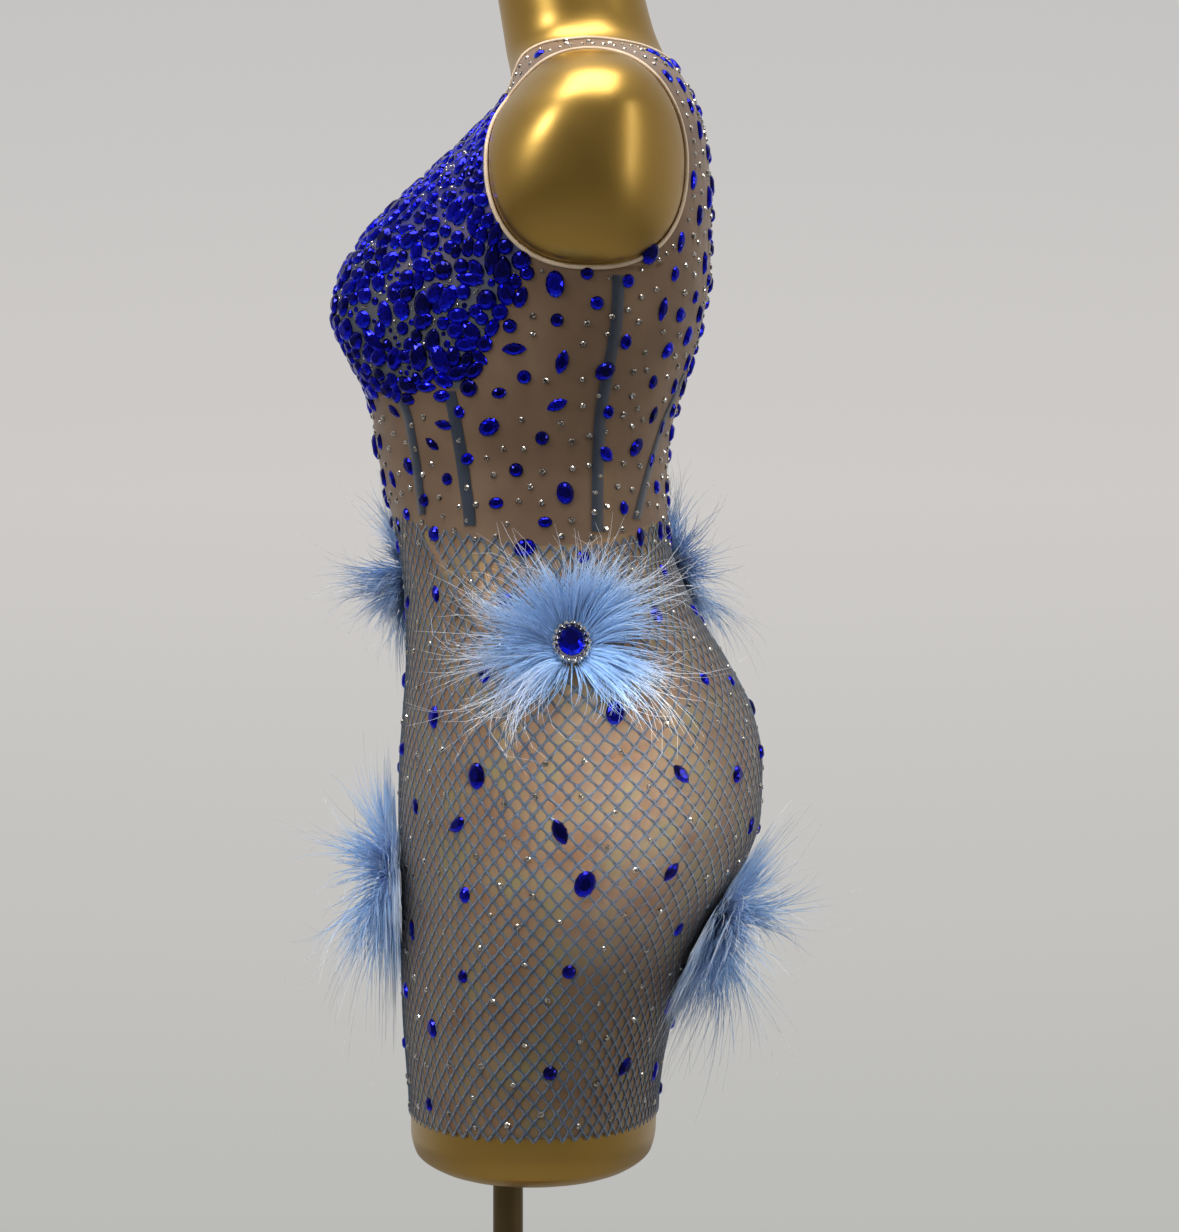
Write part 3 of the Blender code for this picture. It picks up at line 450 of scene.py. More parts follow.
BARB_TAPER_POWER = 1.6
WISP = 2
WISP_PALER = 0.20
TONE_MIDDLE, TONE_TUFT, TONE_BARB = 0.55, 0.28, 0.22
BROOCH_HALF_WIDTH = 0.0125
BROOCH_HALF_HEIGHT = 0.0145
BROOCH_SEAT = 0.0056
BROOCH_STONE = (0.0176, 0.0198)
RING_SHARE = 0.87
RING_STONES = 17
RING_STONE = (0.0041, 0.0041)
PLATE_SIDES = 40
PLATE_PROFILE = ((0.5, -0.0006), (0.90, -0.0006), (0.95, 0.0002), (0.92, 0.0009), (0.5, 0.0009))


def rows_of(columns, table):
    """The rows of a table, each with its values by their columns' names."""
    return [dict(zip(columns, row)) for row in table]


def monotone_slopes(xs, ys):
    """Slopes at the points of a curve that never overshoots them."""
    steps = np.diff(ys) / np.diff(xs)
    slopes = np.concatenate([steps[:1], np.zeros(len(xs) - 2), steps[-1:]])
    before, after = steps[:-1], steps[1:]
    same = before * after > 0
    slopes[1:-1][same] = 2 * before[same] * after[same] / (before[same] + after[same])
    return slopes


SECTION_TABLE = np.array(SECTIONS)
SECTION_HEIGHTS = SECTION_TABLE[:, SECTION_COLUMNS.index("height")]
SECTION_SLOPES = [monotone_slopes(SECTION_HEIGHTS, SECTION_TABLE[:, k]) for k in range(1, 5)]


def section(height):
    """Half width, middle, half depth and power of the level sections at these heights."""
    height = np.clip(height, SECTION_HEIGHTS[0], SECTION_HEIGHTS[-1])
    i = np.searchsorted(SECTION_HEIGHTS, height, side="right") - 1
    i = np.clip(i, 0, len(SECTION_HEIGHTS) - 2)
    step = SECTION_HEIGHTS[i + 1] - SECTION_HEIGHTS[i]
    t = (height - SECTION_HEIGHTS[i]) / step
    found = []
    for column, slopes in enumerate(SECTION_SLOPES, 1):
        values = SECTION_TABLE[:, column]
        found.append(
            values[i] * (1 + 2 * t) * (1 - t) ** 2
            + values[i + 1] * t * t * (3 - 2 * t)
            + step * slopes[i] * t * (1 - t) ** 2
            + step * slopes[i + 1] * t * t * (t - 1)
        )
    half_width, front, back, power = found
    return half_width, (front + back) / 2, (back - front) / 2, power


def signed_power(value, power):
    return np.sign(value) * np.abs(value) ** power


def cup_rise(x, height):
    """How far the cups push the cloth forward at places on the front."""
    across = np.abs(x) - CUP_X
    up = height - CUP_HEIGHT
    reach_x = np.where(across > 0, CUP_REACH_OUT, CUP_REACH_IN)
    reach_z = np.where(up > 0, CUP_REACH_UP, CUP_REACH_DOWN)
    away = np.hypot(across / reach_x, up / reach_z)
    return CUP_RISE * np.cos(np.pi / 2 * np.minimum(away, 1.0)) ** 2


def on_body(angle, height):
    """The points of the cloth's outer face at angles and heights, without creases."""
    angle, height = np.broadcast_arrays(np.asarray(angle, float), np.asarray(height, float))
    half_width, middle, half_depth, power = section(height)
    ahead = np.cos(angle)
    x = half_width * signed_power(np.sin(angle), 2 / power)
    y = middle - half_depth * signed_power(ahead, 2 / power)
    y = y - np.where(ahead > 0, cup_rise(x, height) * np.minimum(1.0, 3 * ahead), 0.0)
    return np.stack([x, y, height], -1)


def unit(vectors):
    return vectors / np.maximum(np.linalg.norm(vectors, axis=-1, keepdims=True), 1e-12)


def outward(angle, height):
    """The unit normals of the cloth's outer face."""
    turn, rise = 0.01, 0.001
    around = on_body(angle + turn, height) - on_body(angle - turn, height)
    upward = on_body(angle, height + rise) - on_body(angle, height - rise)
    return unit(np.cross(around, upward))


def off_body(angle, height, out):
    return on_body(angle, height) + outward(angle, height) * out


def crease_rise(points):
    """How far the creases lift the cloth at these points."""
    rise = np.zeros(points.shape[:-1])
    share = np.linspace(0, 1, 15)
    for crease in rows_of(CREASE_COLUMNS, CREASES):
        angles = np.radians(crease["from_angle"] + share * (crease["to_angle"] - crease["from_angle"]))
        heights = crease["from_height"] + share * (crease["to_height"] - crease["from_height"])
        line = on_body(angles, heights)
        strength = np.sin(np.pi * (0.04 + 0.92 * share)) ** 0.7
        best = np.zeros(points.shape[:-1])
        for spot, strong in zip(line, strength):
            away = np.linalg.norm(points - spot, axis=-1) / crease["half_width"]
            best = np.maximum(best, strong * np.exp(-away * away))
        rise += crease["rise"] * best
    return rise


def on_cloth(angle, height, out=0.0):
    """The points of the creased cloth, lifted out by a given distance."""
    plain = on_body(angle, height)
    lift = crease_rise(plain) + out
    return plain + outward(angle, height) * lift[..., None]


def angle_at_y(y, height):
    """The angle on the left half at which the body lies at y, without the cups."""
    _, middle, half_depth, power = section(height)
    ahead = np.clip((middle - y) / half_depth, -1.0, 1.0)
    return np.arccos(signed_power(ahead, power / 2))


def angle_at_x(x, height):
    half_width, _, _, power = section(height)
    return np.arcsin(np.minimum(1.0, x / half_width) ** (power / 2))


def lerp(a, b, t):
    return a + (b - a) * t


def armhole(turn, size=ARMHOLE_EDGE):
    """A point on the left armhole's edge, at a turn from its back over its top and front."""
    power = np.where(np.sin(turn) > 0, 2.0, ARMHOLE_LOW_POWER)
    y = ARMHOLE_Y + size * ARMHOLE_HALF_DEPTH * signed_power(np.cos(turn), 2 / power)
    height = ARMHOLE_HEIGHT + size * ARMHOLE_HALF_HEIGHT * signed_power(np.sin(turn), 2 / power)
    return angle_at_y(y, height), height


def shoulder_turn():
    """The turn at which the armhole's edge crosses the shoulder seam."""
    low, high = math.radians(40), math.radians(130)
    low_is_front = armhole(low, CLOTH_EDGE)[0] < math.pi / 2
    for _ in range(40):
        turn = (low + high) / 2
        if (armhole(turn, CLOTH_EDGE)[0] < math.pi / 2) == low_is_front:
            low = turn
        else:
            high = turn
    return (low + high) / 2


SHOULDER_TURN = shoulder_turn()
UNDERARM_TURN = math.radians(270)
UNDERARM_ANGLE, UNDERARM_HEIGHT = (float(v) for v in armhole(UNDERARM_TURN, CLOTH_EDGE))


def neckline(turn, is_front):
    """A point on the left half of the neckline, from the centre (turn 0) to the shoulder (a quarter)."""
    drop = NECK_DROP_FRONT if is_front else NECK_DROP_BACK
    height = NECK_TOP - drop * np.cos(turn)
    angle = angle_at_x(section(NECK_TOP)[0] * np.sin(turn), height)
    return (angle if is_front else np.pi - angle), height


def waist_height(angle):
    return WAIST_SIDE_HEIGHT + WAIST_CENTRE_RISE * np.cos(angle) ** 2


def bodice_rows(is_front, rows, columns, underarm_row, strap_row):
    """Angles and heights of a grid on the left half of a bodice panel, from the waist to the shoulder."""
    centre = 0.0 if is_front else math.pi
    underarm_share, strap_share = underarm_row / rows, strap_row / rows
    neck_centre = float(neckline(0.0, is_front)[1])
    low_turn = UNDERARM_TURN if is_front else UNDERARM_TURN - math.tau
    share = np.linspace(0, 1, columns + 1)
    angles, heights = [], []
    for j in range(rows + 1):
        t = j / rows
        if j <= underarm_row:
            seam = lerp(math.pi / 2, UNDERARM_ANGLE, j / underarm_row)
            outer = (seam, lerp(waist_height(seam), UNDERARM_HEIGHT, j / underarm_row))
        else:
            up = (t - underarm_share) / (1 - underarm_share)
            seam = lerp(UNDERARM_ANGLE, math.pi / 2, up)
            outer = armhole(lerp(low_turn, SHOULDER_TURN, up), CLOTH_EDGE)
            outer = (min(outer[0], seam) if is_front else max(outer[0], seam), outer[1])
        if j <= strap_row:
            inner = (centre, lerp(waist_height(centre), neck_centre, j / strap_row))
        else:
            inner = neckline(math.pi / 2 * (t - strap_share) / (1 - strap_share), is_front)
        eased = min(1.0, (rows - j) / (rows - strap_row))
        angle = lerp(inner[0], outer[0], share)
        levelled = lerp(share, 1 - (1 - share) ** 2, eased)
        bow = waist_height(angle) - lerp(waist_height(inner[0]), waist_height(outer[0]), levelled)
        angles.append(angle)
        heights.append(lerp(inner[1], outer[1], levelled) + bow * (1 - t) ** 2)
    return np.array(angles), np.array(heights)


def skirt_rows(is_front):
    """Angles and heights of a grid on the left half of a skirt panel, from the hem to the waist."""
    centre = 0.0 if is_front else math.pi
    across, up = np.linspace(0, 1, SKIRT_COLUMNS + 1), np.linspace(0, 1, SKIRT_ROWS + 1)
    angle, up = np.meshgrid(lerp(centre, math.pi / 2, across), up)
    return angle, lerp(HEM_HEIGHT, waist_height(angle), up)


def edge_points():
    """Points along the left armhole's edge and the left half of the neckline."""
    quarter = np.linspace(0, np.pi / 2, 50)
    edges = (armhole(np.linspace(0, math.tau, 120)), neckline(quarter, True), neckline(quarter, False))
    return np.concatenate([on_body(*edge) for edge in edges])


EDGE_POINTS = edge_points()


def in_dress(angle, height, clear):
    """Whether places on the bodice are at least this far from the armholes and the neckline."""
    turn = np.abs((angle + np.pi) % math.tau - np.pi)
    point = on_body(turn, height)
    across = (point[..., 1] - ARMHOLE_Y) / (ARMHOLE_EDGE * ARMHOLE_HALF_DEPTH)
    upward = (height - ARMHOLE_HEIGHT) / (ARMHOLE_EDGE * ARMHOLE_HALF_HEIGHT)
    power = np.where(upward > 0, 2.0, ARMHOLE_LOW_POWER)
    out_of_armhole = np.abs(across) ** power + np.abs(upward) ** power > 1
    quarter = np.linspace(0, np.pi / 2, 40)
    front_angles, front_heights = neckline(quarter, True)
    back_angles, back_heights = neckline(quarter, False)
    edge = np.where(
        turn < np.pi / 2,
        np.interp(turn, front_angles, front_heights),
        np.interp(turn, back_angles[::-1], back_heights[::-1]),
    )
    far = squared_distances(point, EDGE_POINTS).min(axis=1) > clear * clear
    return out_of_armhole & (height < edge) & far


def even_angles(heights, stops, samples):
    """Angles at even steps of the way from the centre front to the back, in spans between stops."""
    rows = []
    for height, row_stops in zip(heights, stops):
        row = [0.0]
        for start, end in zip(row_stops, row_stops[1:]):
            angles = np.linspace(start, end, ROUND_STEPS + 1)
            steps = np.linalg.norm(np.diff(on_body(angles, height), axis=0), axis=1)
            way = np.concatenate([[0], np.cumsum(steps)])
            row.extend(np.interp(np.linspace(0, 1, samples + 1), way / way[-1], angles)[1:])
        rows.append(row)
    return heights, np.array(rows)


EVEN_HEIGHTS = np.linspace(SECTION_HEIGHTS[0], NECK_TOP, 120)
EVEN_TABLE = even_angles(EVEN_HEIGHTS, [(0.0, np.pi)] * len(EVEN_HEIGHTS), 180)


def from_table(table_heights, table_angles, way, height):
    """The angle that a table gives for a share of the way round the body, from -0.5 to 0.5, at a height."""
    way = (np.asarray(way, float) + 0.5) % 1.0 - 0.5
    across = np.abs(way) * 2 * (table_angles.shape[1] - 1)
    down = np.interp(height, table_heights, np.arange(len(table_heights)))
    i = np.clip(across.astype(int), 0, table_angles.shape[1] - 2)
    j = np.clip(down.astype(int), 0, len(table_heights) - 2)
    s, t = across - i, down - j
    low = lerp(table_angles[j, i], table_angles[j, i + 1], s)
    high = lerp(table_angles[j + 1, i], table_angles[j + 1, i + 1], s)
    return np.sign(way) * lerp(low, high, t)


def place_in_photo(photo_x, photo_y):
    """The angle and height on the wearer's left that the camera sees at a pixel of the photograph."""
    x = 0.13
    for _ in range(16):
        reach = (CAMERA_X - x) / FOCAL_PX
        y = CAMERA_Y + (photo_x - PHOTO_WIDTH / 2) * reach
        height = CAMERA_HEIGHT - (photo_y - PHOTO_HEIGHT / 2) * reach
        angle = float(angle_at_y(y, height))
        x = lerp(x, float(on_body(angle, height)[0]), 0.7)
    return angle, height


def surface_axes(angle, height):
    """Unit vectors on the cloth: to the wearer's left-hand way round, up, and out."""
    out = outward(angle, height)
    across = unit(np.cross(np.array([0.0, 0.0, 1.0]), out))
    return across, unit(np.cross(out, across)), out


def new_mesh(name, points, faces, material, smooth=True):
    """A piece from an array of points and an array, or several arrays, of faces."""
    mesh = bpy.data.meshes.new(name)
    groups = faces if isinstance(faces, list) else [faces]
    rows = [row for group in groups for row in group.tolist()]
    mesh.from_pydata(np.reshape(points, (-1, 3)).tolist(), [], rows)
    mesh.update()
    if smooth:
        mesh.shade_smooth()
    else:
        mesh.shade_flat()
    mesh.materials.append(material)
    piece = bpy.data.objects.new(name, mesh)
    bpy.context.scene.collection.objects.link(piece)
    return piece


def add_value(piece, name, values, domain="POINT"):
    """Stores a number for each point or face, which the materials read."""
    attribute = piece.data.attributes.new(name, "FLOAT", domain)
    attribute.data.foreach_set("value", np.asarray(values, np.float32).ravel())


def dress_piece(piece, slot, *nodes):
    """Fastens a piece to the model and hides the nodes that it stands for. The slot is not used."""
    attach(piece, "root")
    if nodes:
        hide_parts(*nodes)
    return piece


def grid_faces(rows, columns, wrap=False):
    """The faces of a grid of points, with its last column joined to its first where it wraps."""
    row, column = np.indices((rows - 1, columns if wrap else columns - 1))
    low, high, after = row * columns, (row + 1) * columns, (column + 1) % columns
    return np.stack([low + column, low + after, high + after, high + column], -1).reshape(-1, 4)


def tubes(centres, normals, half_widths, half_thicks, sides=3, closed=False):
    """Points and faces of tubes along many lines, each line an array of centres with a normal at each."""
    ahead = np.roll(centres, -1, axis=1) - np.roll(centres, 1, axis=1)
    if not closed:
        ahead[:, 0] = centres[:, 1] - centres[:, 0]
        ahead[:, -1] = centres[:, -1] - centres[:, -2]
    sideways = unit(np.cross(unit(ahead), normals))
    upright = unit(np.cross(sideways, unit(ahead)))
    turns = math.tau * (np.arange(sides) + 0.5) / sides
    points = (
        centres[:, :, None, :]
        + sideways[:, :, None, :] * (half_widths[..., None] * np.cos(turns))[..., None]
        + upright[:, :, None, :] * (half_thicks[..., None] * np.sin(turns))[..., None]
    )
    lines, steps = centres.shape[:2]
    line, step, side = np.indices((lines, steps if closed else steps - 1, sides))
    near, far = (line * steps + step) * sides, (line * steps + (step + 1) % steps) * sides
    beside = (side + 1) % sides
    faces = np.stack([near + side, near + beside, far + beside, far + side], -1)
    return points.reshape(-1, 3), faces.reshape(-1, 4)


def lofted(name, rings, finish):
    """A piece through closed rings of points, with a flat end at the first and at the last."""
    rings = np.asarray(rings)
    count, sides = rings.shape[:2]
    end = np.arange(sides)[None]
    faces = [grid_faces(count, sides, wrap=True), end[:, ::-1], end + (count - 1) * sides]
    return new_mesh(name, rings, faces, finish)


def new_material(name, colour, roughness, more):
    """A material and its shader, with more of the shader's values by name."""
    material = bpy.data.materials.new(name)
    material.use_nodes = True
    shader = material.node_tree.nodes["Principled BSDF"]
    for socket, value in {"Base Color": (*colour, 1.0), "Roughness": roughness, **more}.items():
        shader.inputs[socket].default_value = value
    return material, shader


def add_node(owner, kind, **settings):
    """A node of a material or of the surrounding, with its values and its other settings."""
    node = owner.node_tree.nodes.new(kind)
    for name, value in settings.items():
        if name in node.inputs:
            node.inputs[name].default_value = value
        else:
            setattr(node, name, value)
    return node


def link(owner, source, target):
    owner.node_tree.links.new(source, target)


def stored(material, name):
    """A number stored for each point or face."""
    return add_node(material, "ShaderNodeAttribute", attribute_name=name).outputs["Fac"]


def noise(material, scale, detail=2.0):
    """Noise in the object's own place, in metres."""
    made = add_node(material, "ShaderNodeTexNoise", Scale=scale, Detail=detail)
    link(material, add_node(material, "ShaderNodeTexCoord").outputs["Object"], made.inputs["Vector"])
    return made.outputs["Fac"]


def ramp(owner, source, stops):
    """Colours along a number, from (place, colour) pairs."""
    made = add_node(owner, "ShaderNodeValToRGB")
    elements = made.color_ramp.elements
    while len(elements) < len(stops):
        elements.new(0.5)
    for element, (place, colour) in zip(elements, stops):
        element.position = place
        element.color = (*colour, 1.0)
    link(owner, source, made.inputs["Fac"])
    return made.outputs["Color"]


def spread(owner, source, low, high, source_low=0.0):
    """A number stretched from its low end to 1 onto low to high."""
    made = add_node(owner, "ShaderNodeMapRange", **{"From Min": source_low, "To Min": low, "To Max": high})
    link(owner, source, made.inputs["Value"])
    return made.outputs["Result"]


def mixed(material, factor, first, second, **settings):
    """Two colours mixed, by a number or by a linked value."""
    mix = add_node(material, "ShaderNodeMix", data_type="RGBA", **settings)
    if isinstance(factor, float):
        mix.inputs["Factor"].default_value = factor
    else:
        link(material, factor, mix.inputs["Factor"])
    link(material, first, mix.inputs["A"])
    link(material, second, mix.inputs["B"])
    return mix.outputs["Result"]


def bump(material, shader, scale, strength, depth, detail=2.0):
    """A fine grain."""
    made = add_node(material, "ShaderNodeBump", Strength=strength, Distance=depth)
    link(material, noise(material, scale, detail), made.inputs["Height"])
    link(material, made.outputs["Normal"], shader.inputs["Normal"])


def uneven_finish(name, shades, scale, roughness, gloss, grain, more):
    """A finish that is a little uneven in colour, and in gloss where a noise for it is given."""
    material, shader = new_material(name, shades[0], roughness, more)
    colour = ramp(material, noise(material, scale), tuple(zip(UNEVEN_STOPS, shades)))
    link(material, colour, shader.inputs["Base Color"])
    if gloss:
        shine = spread(material, noise(material, gloss[0], 4.0), *gloss[1:])
        link(material, shine, shader.inputs["Roughness"])
    bump(material, shader, *grain)
    return material


def plain_finish(name, colour, metallic, scale, low, high):
    """A finish of one colour, uneven in gloss."""
    material, shader = new_material(name, colour, low, {"Metallic": metallic})
    link(material, spread(material, noise(material, scale), low, high), shader.inputs["Roughness"])
    return material


def sheer_mesh(name, colours, grain, alpha):
    """Fine sheer mesh: a little uneven in colour, with a knitted grain. Among the close stones it is painted
    darker and bluer upward, as painted shade and painted blue light from the stones.
    """
    more = {"Alpha": alpha, "Sheen Weight": 0.25, "Sheen Roughness": 0.4}
    material, shader = new_material(name, colours[1], 0.62, more)
    colour = ramp(material, noise(material, grain, 3.0), tuple(zip((0.30, 0.5, 0.70), colours)))
    # Painted shade and painted blue light between the close stones, darker and bluer higher up.
    painted_gap_shade = ramp(material, stored(material, "gap_shade_rise"), BIB_GAP_PAINTED_SHADE)
    link(material, mixed(material, stored(material, "close"), colour, painted_gap_shade), shader.inputs["Base Color"])
    bump(material, shader, 1400.0, 0.25, 0.0003, 1.0)
    return material


def painted_facet_glass(name, coat, stops):
    """Cut glass with a foil back: each facet has its own painted brightness, from painted shade to painted
    glints.
    """
    more = {"Metallic": 1.0, "Coat Weight": coat, "Coat Roughness": 0.03}
    material, shader = new_material(name, stops[1][1], 0.09, more)
    link(material, ramp(material, stored(material, "shade"), stops), shader.inputs["Base Color"])
    return material


def blue_feather():
    """Soft barbs: clear blue near the root and pale at the tip, lighter or darker from tuft to tuft."""
    more = {"Sheen Weight": 0.4, "Specular IOR Level": 0.25}
    material, shader = new_material("blue_feather", FEATHER_STOPS[0][1], 0.75, more)
    colour = ramp(material, stored(material, "along"), FEATHER_STOPS)
    light = ramp(material, stored(material, "shade"), FEATHER_LIGHTS)
    link(material, mixed(material, 1.0, colour, light, blend_type="MULTIPLY"), shader.inputs["Base Color"])
    return material


def make_materials():
    """Every finish, by its name."""
    made = {"blue_feather": blue_feather(), "silver": plain_finish(*SILVER)}
    tables = ((uneven_finish, FINISH_COLUMNS, FINISHES), (sheer_mesh, MESH_COLUMNS, MESHES))
    for make, columns, table in (*tables, (painted_facet_glass, GLASS_COLUMNS, GLASSES)):
        made.update({row["name"]: make(**row) for row in rows_of(columns, table)})
    return made


def form_torso(finish):
    """The gold torso: smooth from the flat underside to the neck's flat top."""
    first, last = SECTION_HEIGHTS[[0, -1]]
    heights = first + (last - first) * np.linspace(0, 1, FORM_ROWS)
    heights = np.unique(np.concatenate([heights, np.linspace(first, SECTION_HEIGHTS[3], FORM_LOW_ROWS)]))
    angles = np.linspace(0, math.tau, FORM_SIDES, endpoint=False)
    rings = off_body(*np.meshgrid(angles, heights), -FORM_DEPTH)
    rings[0, :, 2], rings[-1, :, 2] = first, last
    ends = []
    for edge in (rings[0], rings[-1]):
        middle = edge.mean(axis=0)
        ends.append([middle + (edge - middle) * share for share in FORM_END_SHARES])
    rings = np.concatenate([ends[0][::-1], rings, ends[1]])
    dress_piece(lofted("form_torso_skin", rings, finish), "form_gold", "form_torso")


def form_cap(label, side, finish):
    """The domed cap that closes the form's shoulder inside an armhole, with a rounded rim."""
    turns = np.linspace(0, math.tau, CAP_SIDES, endpoint=False)
    rings = []
    for share in np.sin(np.linspace(0.02, 1, CAP_RINGS) * np.pi / 2):
        angle, height = armhole(turns, share * CAP_EDGE)
        rise = CAP_RISE * math.sqrt(max(0.0, 1 - share * share))
        rings.append(off_body(side * angle, height, CAP_LIFT) + np.array([side * rise, 0, 0]))
    rings += [off_body(side * angle, height, out) for out in CAP_RIM]
    middle = np.arange(CAP_SIDES)[None]
    faces = [grid_faces(len(rings), CAP_SIDES, wrap=True)[:, ::-side], middle[:, ::side]]
    piece = new_mesh("form_cap_%s_skin" % label, np.concatenate(rings), faces, finish)
    dress_piece(piece, "form_gold", "form_cap_" + label)


def turned(name, profile, sides, finish):
    """A piece turned about the pole's axis, from (radius, height) pairs, closed at both ends."""
    turns = np.linspace(0, math.tau, sides, endpoint=False)
    rings = [np.stack([r * np.cos(turns), r * np.sin(turns), np.full(sides, z)], -1) for r, z in profile]
    piece = lofted(name, rings, finish)
    piece.data.set_sharp_from_angle(angle=math.radians(35))
    return piece


def stand(finish):
    """The base plate with its rolled edge and collar, and the pole."""
    top = BASE_THICK + COLLAR_HEIGHT
    profile = [(BASE_RADIUS - 0.001, 0.0), (BASE_RADIUS, 0.001)]
    for t in np.linspace(0, math.pi / 2, 7):
        inward, down = BASE_BEVEL * (1 - math.cos(t)), BASE_BEVEL * (1 - math.sin(t))
        profile.append((BASE_RADIUS - inward, BASE_THICK - down))
    profile += [(COLLAR_RADIUS + out, BASE_THICK + up) for out, up in COLLAR_FOOT]
    profile += [(COLLAR_RADIUS, top), (COLLAR_RADIUS - 0.003, top + 0.003)]
    dress_piece(turned("base_plate_metal", profile, 128, finish), "stand_metal", "base_plate")
    ends = ((POLE_RADIUS, top + 0.0033), (POLE_RADIUS, SECTION_HEIGHTS[0] - 0.0003))
    dress_piece(turned("stand_pole_metal", ends, 64, finish), "stand_metal", "stand_pole")


def cloth_panel(name, angles, heights, finish, slot, hem=False):
    """A thin panel on both halves of the body, joined along the centre line."""
    rows, columns = angles.shape
    halves, faces = [], []
    for number, side in enumerate((1, -1)):
        points = on_cloth(side * angles, heights)
        if hem:
            points[0] += [0, 0, HEM_TURN_RISE] - outward(side * angles[0], heights[0]) * HEM_TURN
        halves.append(points.reshape(-1, 3))
        quads = grid_faces(rows, columns)
        outward_first = (side == 1) == (angles[0, -1] > angles[0, 0])
        faces.append((quads if outward_first else quads[:, ::-1]) + number * rows * columns)
    piece = new_mesh(name, np.concatenate(halves), faces, finish)
    around = np.concatenate([angles.ravel(), -angles.ravel()])
    upward = np.tile(heights.ravel(), 2)
    # Where the mesh lies among the close stones, and how far up: these carry the painted shade and painted
    # blue light between the stones.
    add_value(piece, "close", in_bib(around, upward) * (slot == "nude_mesh"))
    add_value(piece, "gap_shade_rise", np.interp(upward, BIB_GAP_SHADE_HEIGHTS, (0, 1)))
    bm = bmesh.new()
    bm.from_mesh(piece.data)
    bmesh.ops.remove_doubles(bm, verts=bm.verts, dist=0.00005)
    bm.to_mesh(piece.data)
    bm.free()
    return dress_piece(piece, slot, name.replace("_cloth", ""))


def edge_band(name, angles, heights, finish):
    """A padded band along a closed edge."""
    centres, normals = on_cloth(angles, heights, BAND_LIFT)[None], outward(angles, heights)[None]
    widths, thicks = (np.full(centres.shape[:2], size) for size in (BAND_HALF_WIDTH, BAND_HALF_THICK))
    points, faces = tubes(centres, normals, widths, thicks, BAND_SIDES, closed=True)
    dress_piece(new_mesh(name + "_band", points, faces, finish), "binding", name)


def bindings(finish):
    """The folded bindings of the armholes and the neckline."""
    angles, heights = armhole(np.linspace(0, math.tau, 220, endpoint=False), ARMHOLE_BAND)
    for label, side in SIDES:
        edge_band("armhole_binding_" + label, side * angles, heights, finish)
    quarter = np.linspace(0, np.pi / 2, 60)
    front, back = np.array(neckline(quarter, True)), np.array(neckline(quarter[::-1], False))
    left = np.concatenate([front, back[:, 1:]], axis=1)
    angles, heights = np.concatenate([left, left[:, -2:0:-1] * [[-1], [1]]], axis=1)
    edge_band("neck_binding", angles, heights + NECK_BAND_RISE, finish)


def through_three(share, *places):
    """The places on a smooth line through three: at its start, its middle and its end."""
    weights = ((1 - share) * (1 - 2 * share), 4 * share * (1 - share), share * (2 * share - 1))
    return sum(weight * np.array(place)[:, None] for weight, place in zip(weights, places))


def boning_tapes(finish):
    """The sheer blue tapes on the bodice: flat, with a slightly raised edge."""
    share = np.linspace(0, 1, 48)
    for label, side in SIDES:
        for tape in rows_of(TAPE_COLUMNS, TAPES):
            degrees, height = through_three(share, tape["top"], tape["middle"], tape["low"])
            angle = side * np.radians(degrees)
            across = surface_axes(angle, height)[0] * TAPE_WIDTH / 2
            columns = [on_cloth(angle, height, lift) + across * way for way, lift in TAPE_PROFILE]
            faces = grid_faces(len(share), len(columns))[:, ::-1]
            node = "boning_tape_%s_%s" % (tape["name"], label)
            dress_piece(new_mesh(node + "_band", np.stack(columns, 1), faces, finish), "blue_tape", node)


def with_middles(lines):
    """Lines of points with one more point in the middle of each step."""
    found = np.zeros((lines.shape[0], 2 * lines.shape[1] - 1, 3))
    found[:, ::2] = lines
    found[:, 1::2] = (lines[:, 1:] + lines[:, :-1]) / 2
    return found


def skirt_net(finish, rng):
    """The net over the skirt: cords that cross in diamonds, wider and slightly uneven where they cross."""
    around, down = 2 * NET_AROUND, 2 * NET_ROWS
    heights = np.linspace(HEM_HEIGHT - 0.002, WAIST_SIDE_HEIGHT + WAIST_CENTRE_RISE + 0.002, 80)
    stops = [(0.0, float(angle_at_y(SIDE_LINE_Y, height)), np.pi) for height in heights]
    table = even_angles(heights, stops, 90)
    way = np.arange(around)[None, :] / around - 0.5
    up = np.arange(down + 1)[:, None] / down
    uneven_way = rng.normal(0, NET_UNEVEN, (down + 1, around)) / NET_GIRTH
    uneven_height = rng.normal(0, NET_UNEVEN, (down + 1, around))
    uneven_height[0] = uneven_height[-1] = 0
    rough = from_table(*table, way, np.full((down + 1, around), SKIRT_MIDDLE))
    height = lerp(HEM_HEIGHT + NET_HEM_CLEAR, waist_height(rough), up) + uneven_height
    angle = from_table(*table, way + uneven_way, height)
    steps = np.arange(down + 1)
    columns = [(start + slope * steps) % around for slope in (1, -1) for start in range(0, around, 2)]
    found = []
    for crossings in (on_cloth(angle, height, NET_LIFT), outward(angle, height)):
        found.append(with_middles(np.array([crossings[steps, column] for column in columns])))
    centres, normals = found
    half_widths = np.full(centres.shape[:2], NET_HALF_WIDTH)
    half_widths[:, ::2] = NET_KNOT_HALF_WIDTH
    points, faces = tubes(centres, unit(normals), half_widths, np.full(half_widths.shape, NET_HALF_THICK))
    dress_piece(new_mesh("skirt_net", points, faces, finish), "net_mesh")


def stone_outline(kind, turns):
    """The outline of a stone of width and length 1."""
    x, y = np.cos(turns), np.sin(turns)
    if kind == "navette":
        x = signed_power(x, 1.55)
    if kind == "pear":
        x = signed_power(x, 1 + 0.55 * np.clip(y, 0, 1)) * (1 - 0.12 * y)
    return np.stack([x, y], -1) / 2


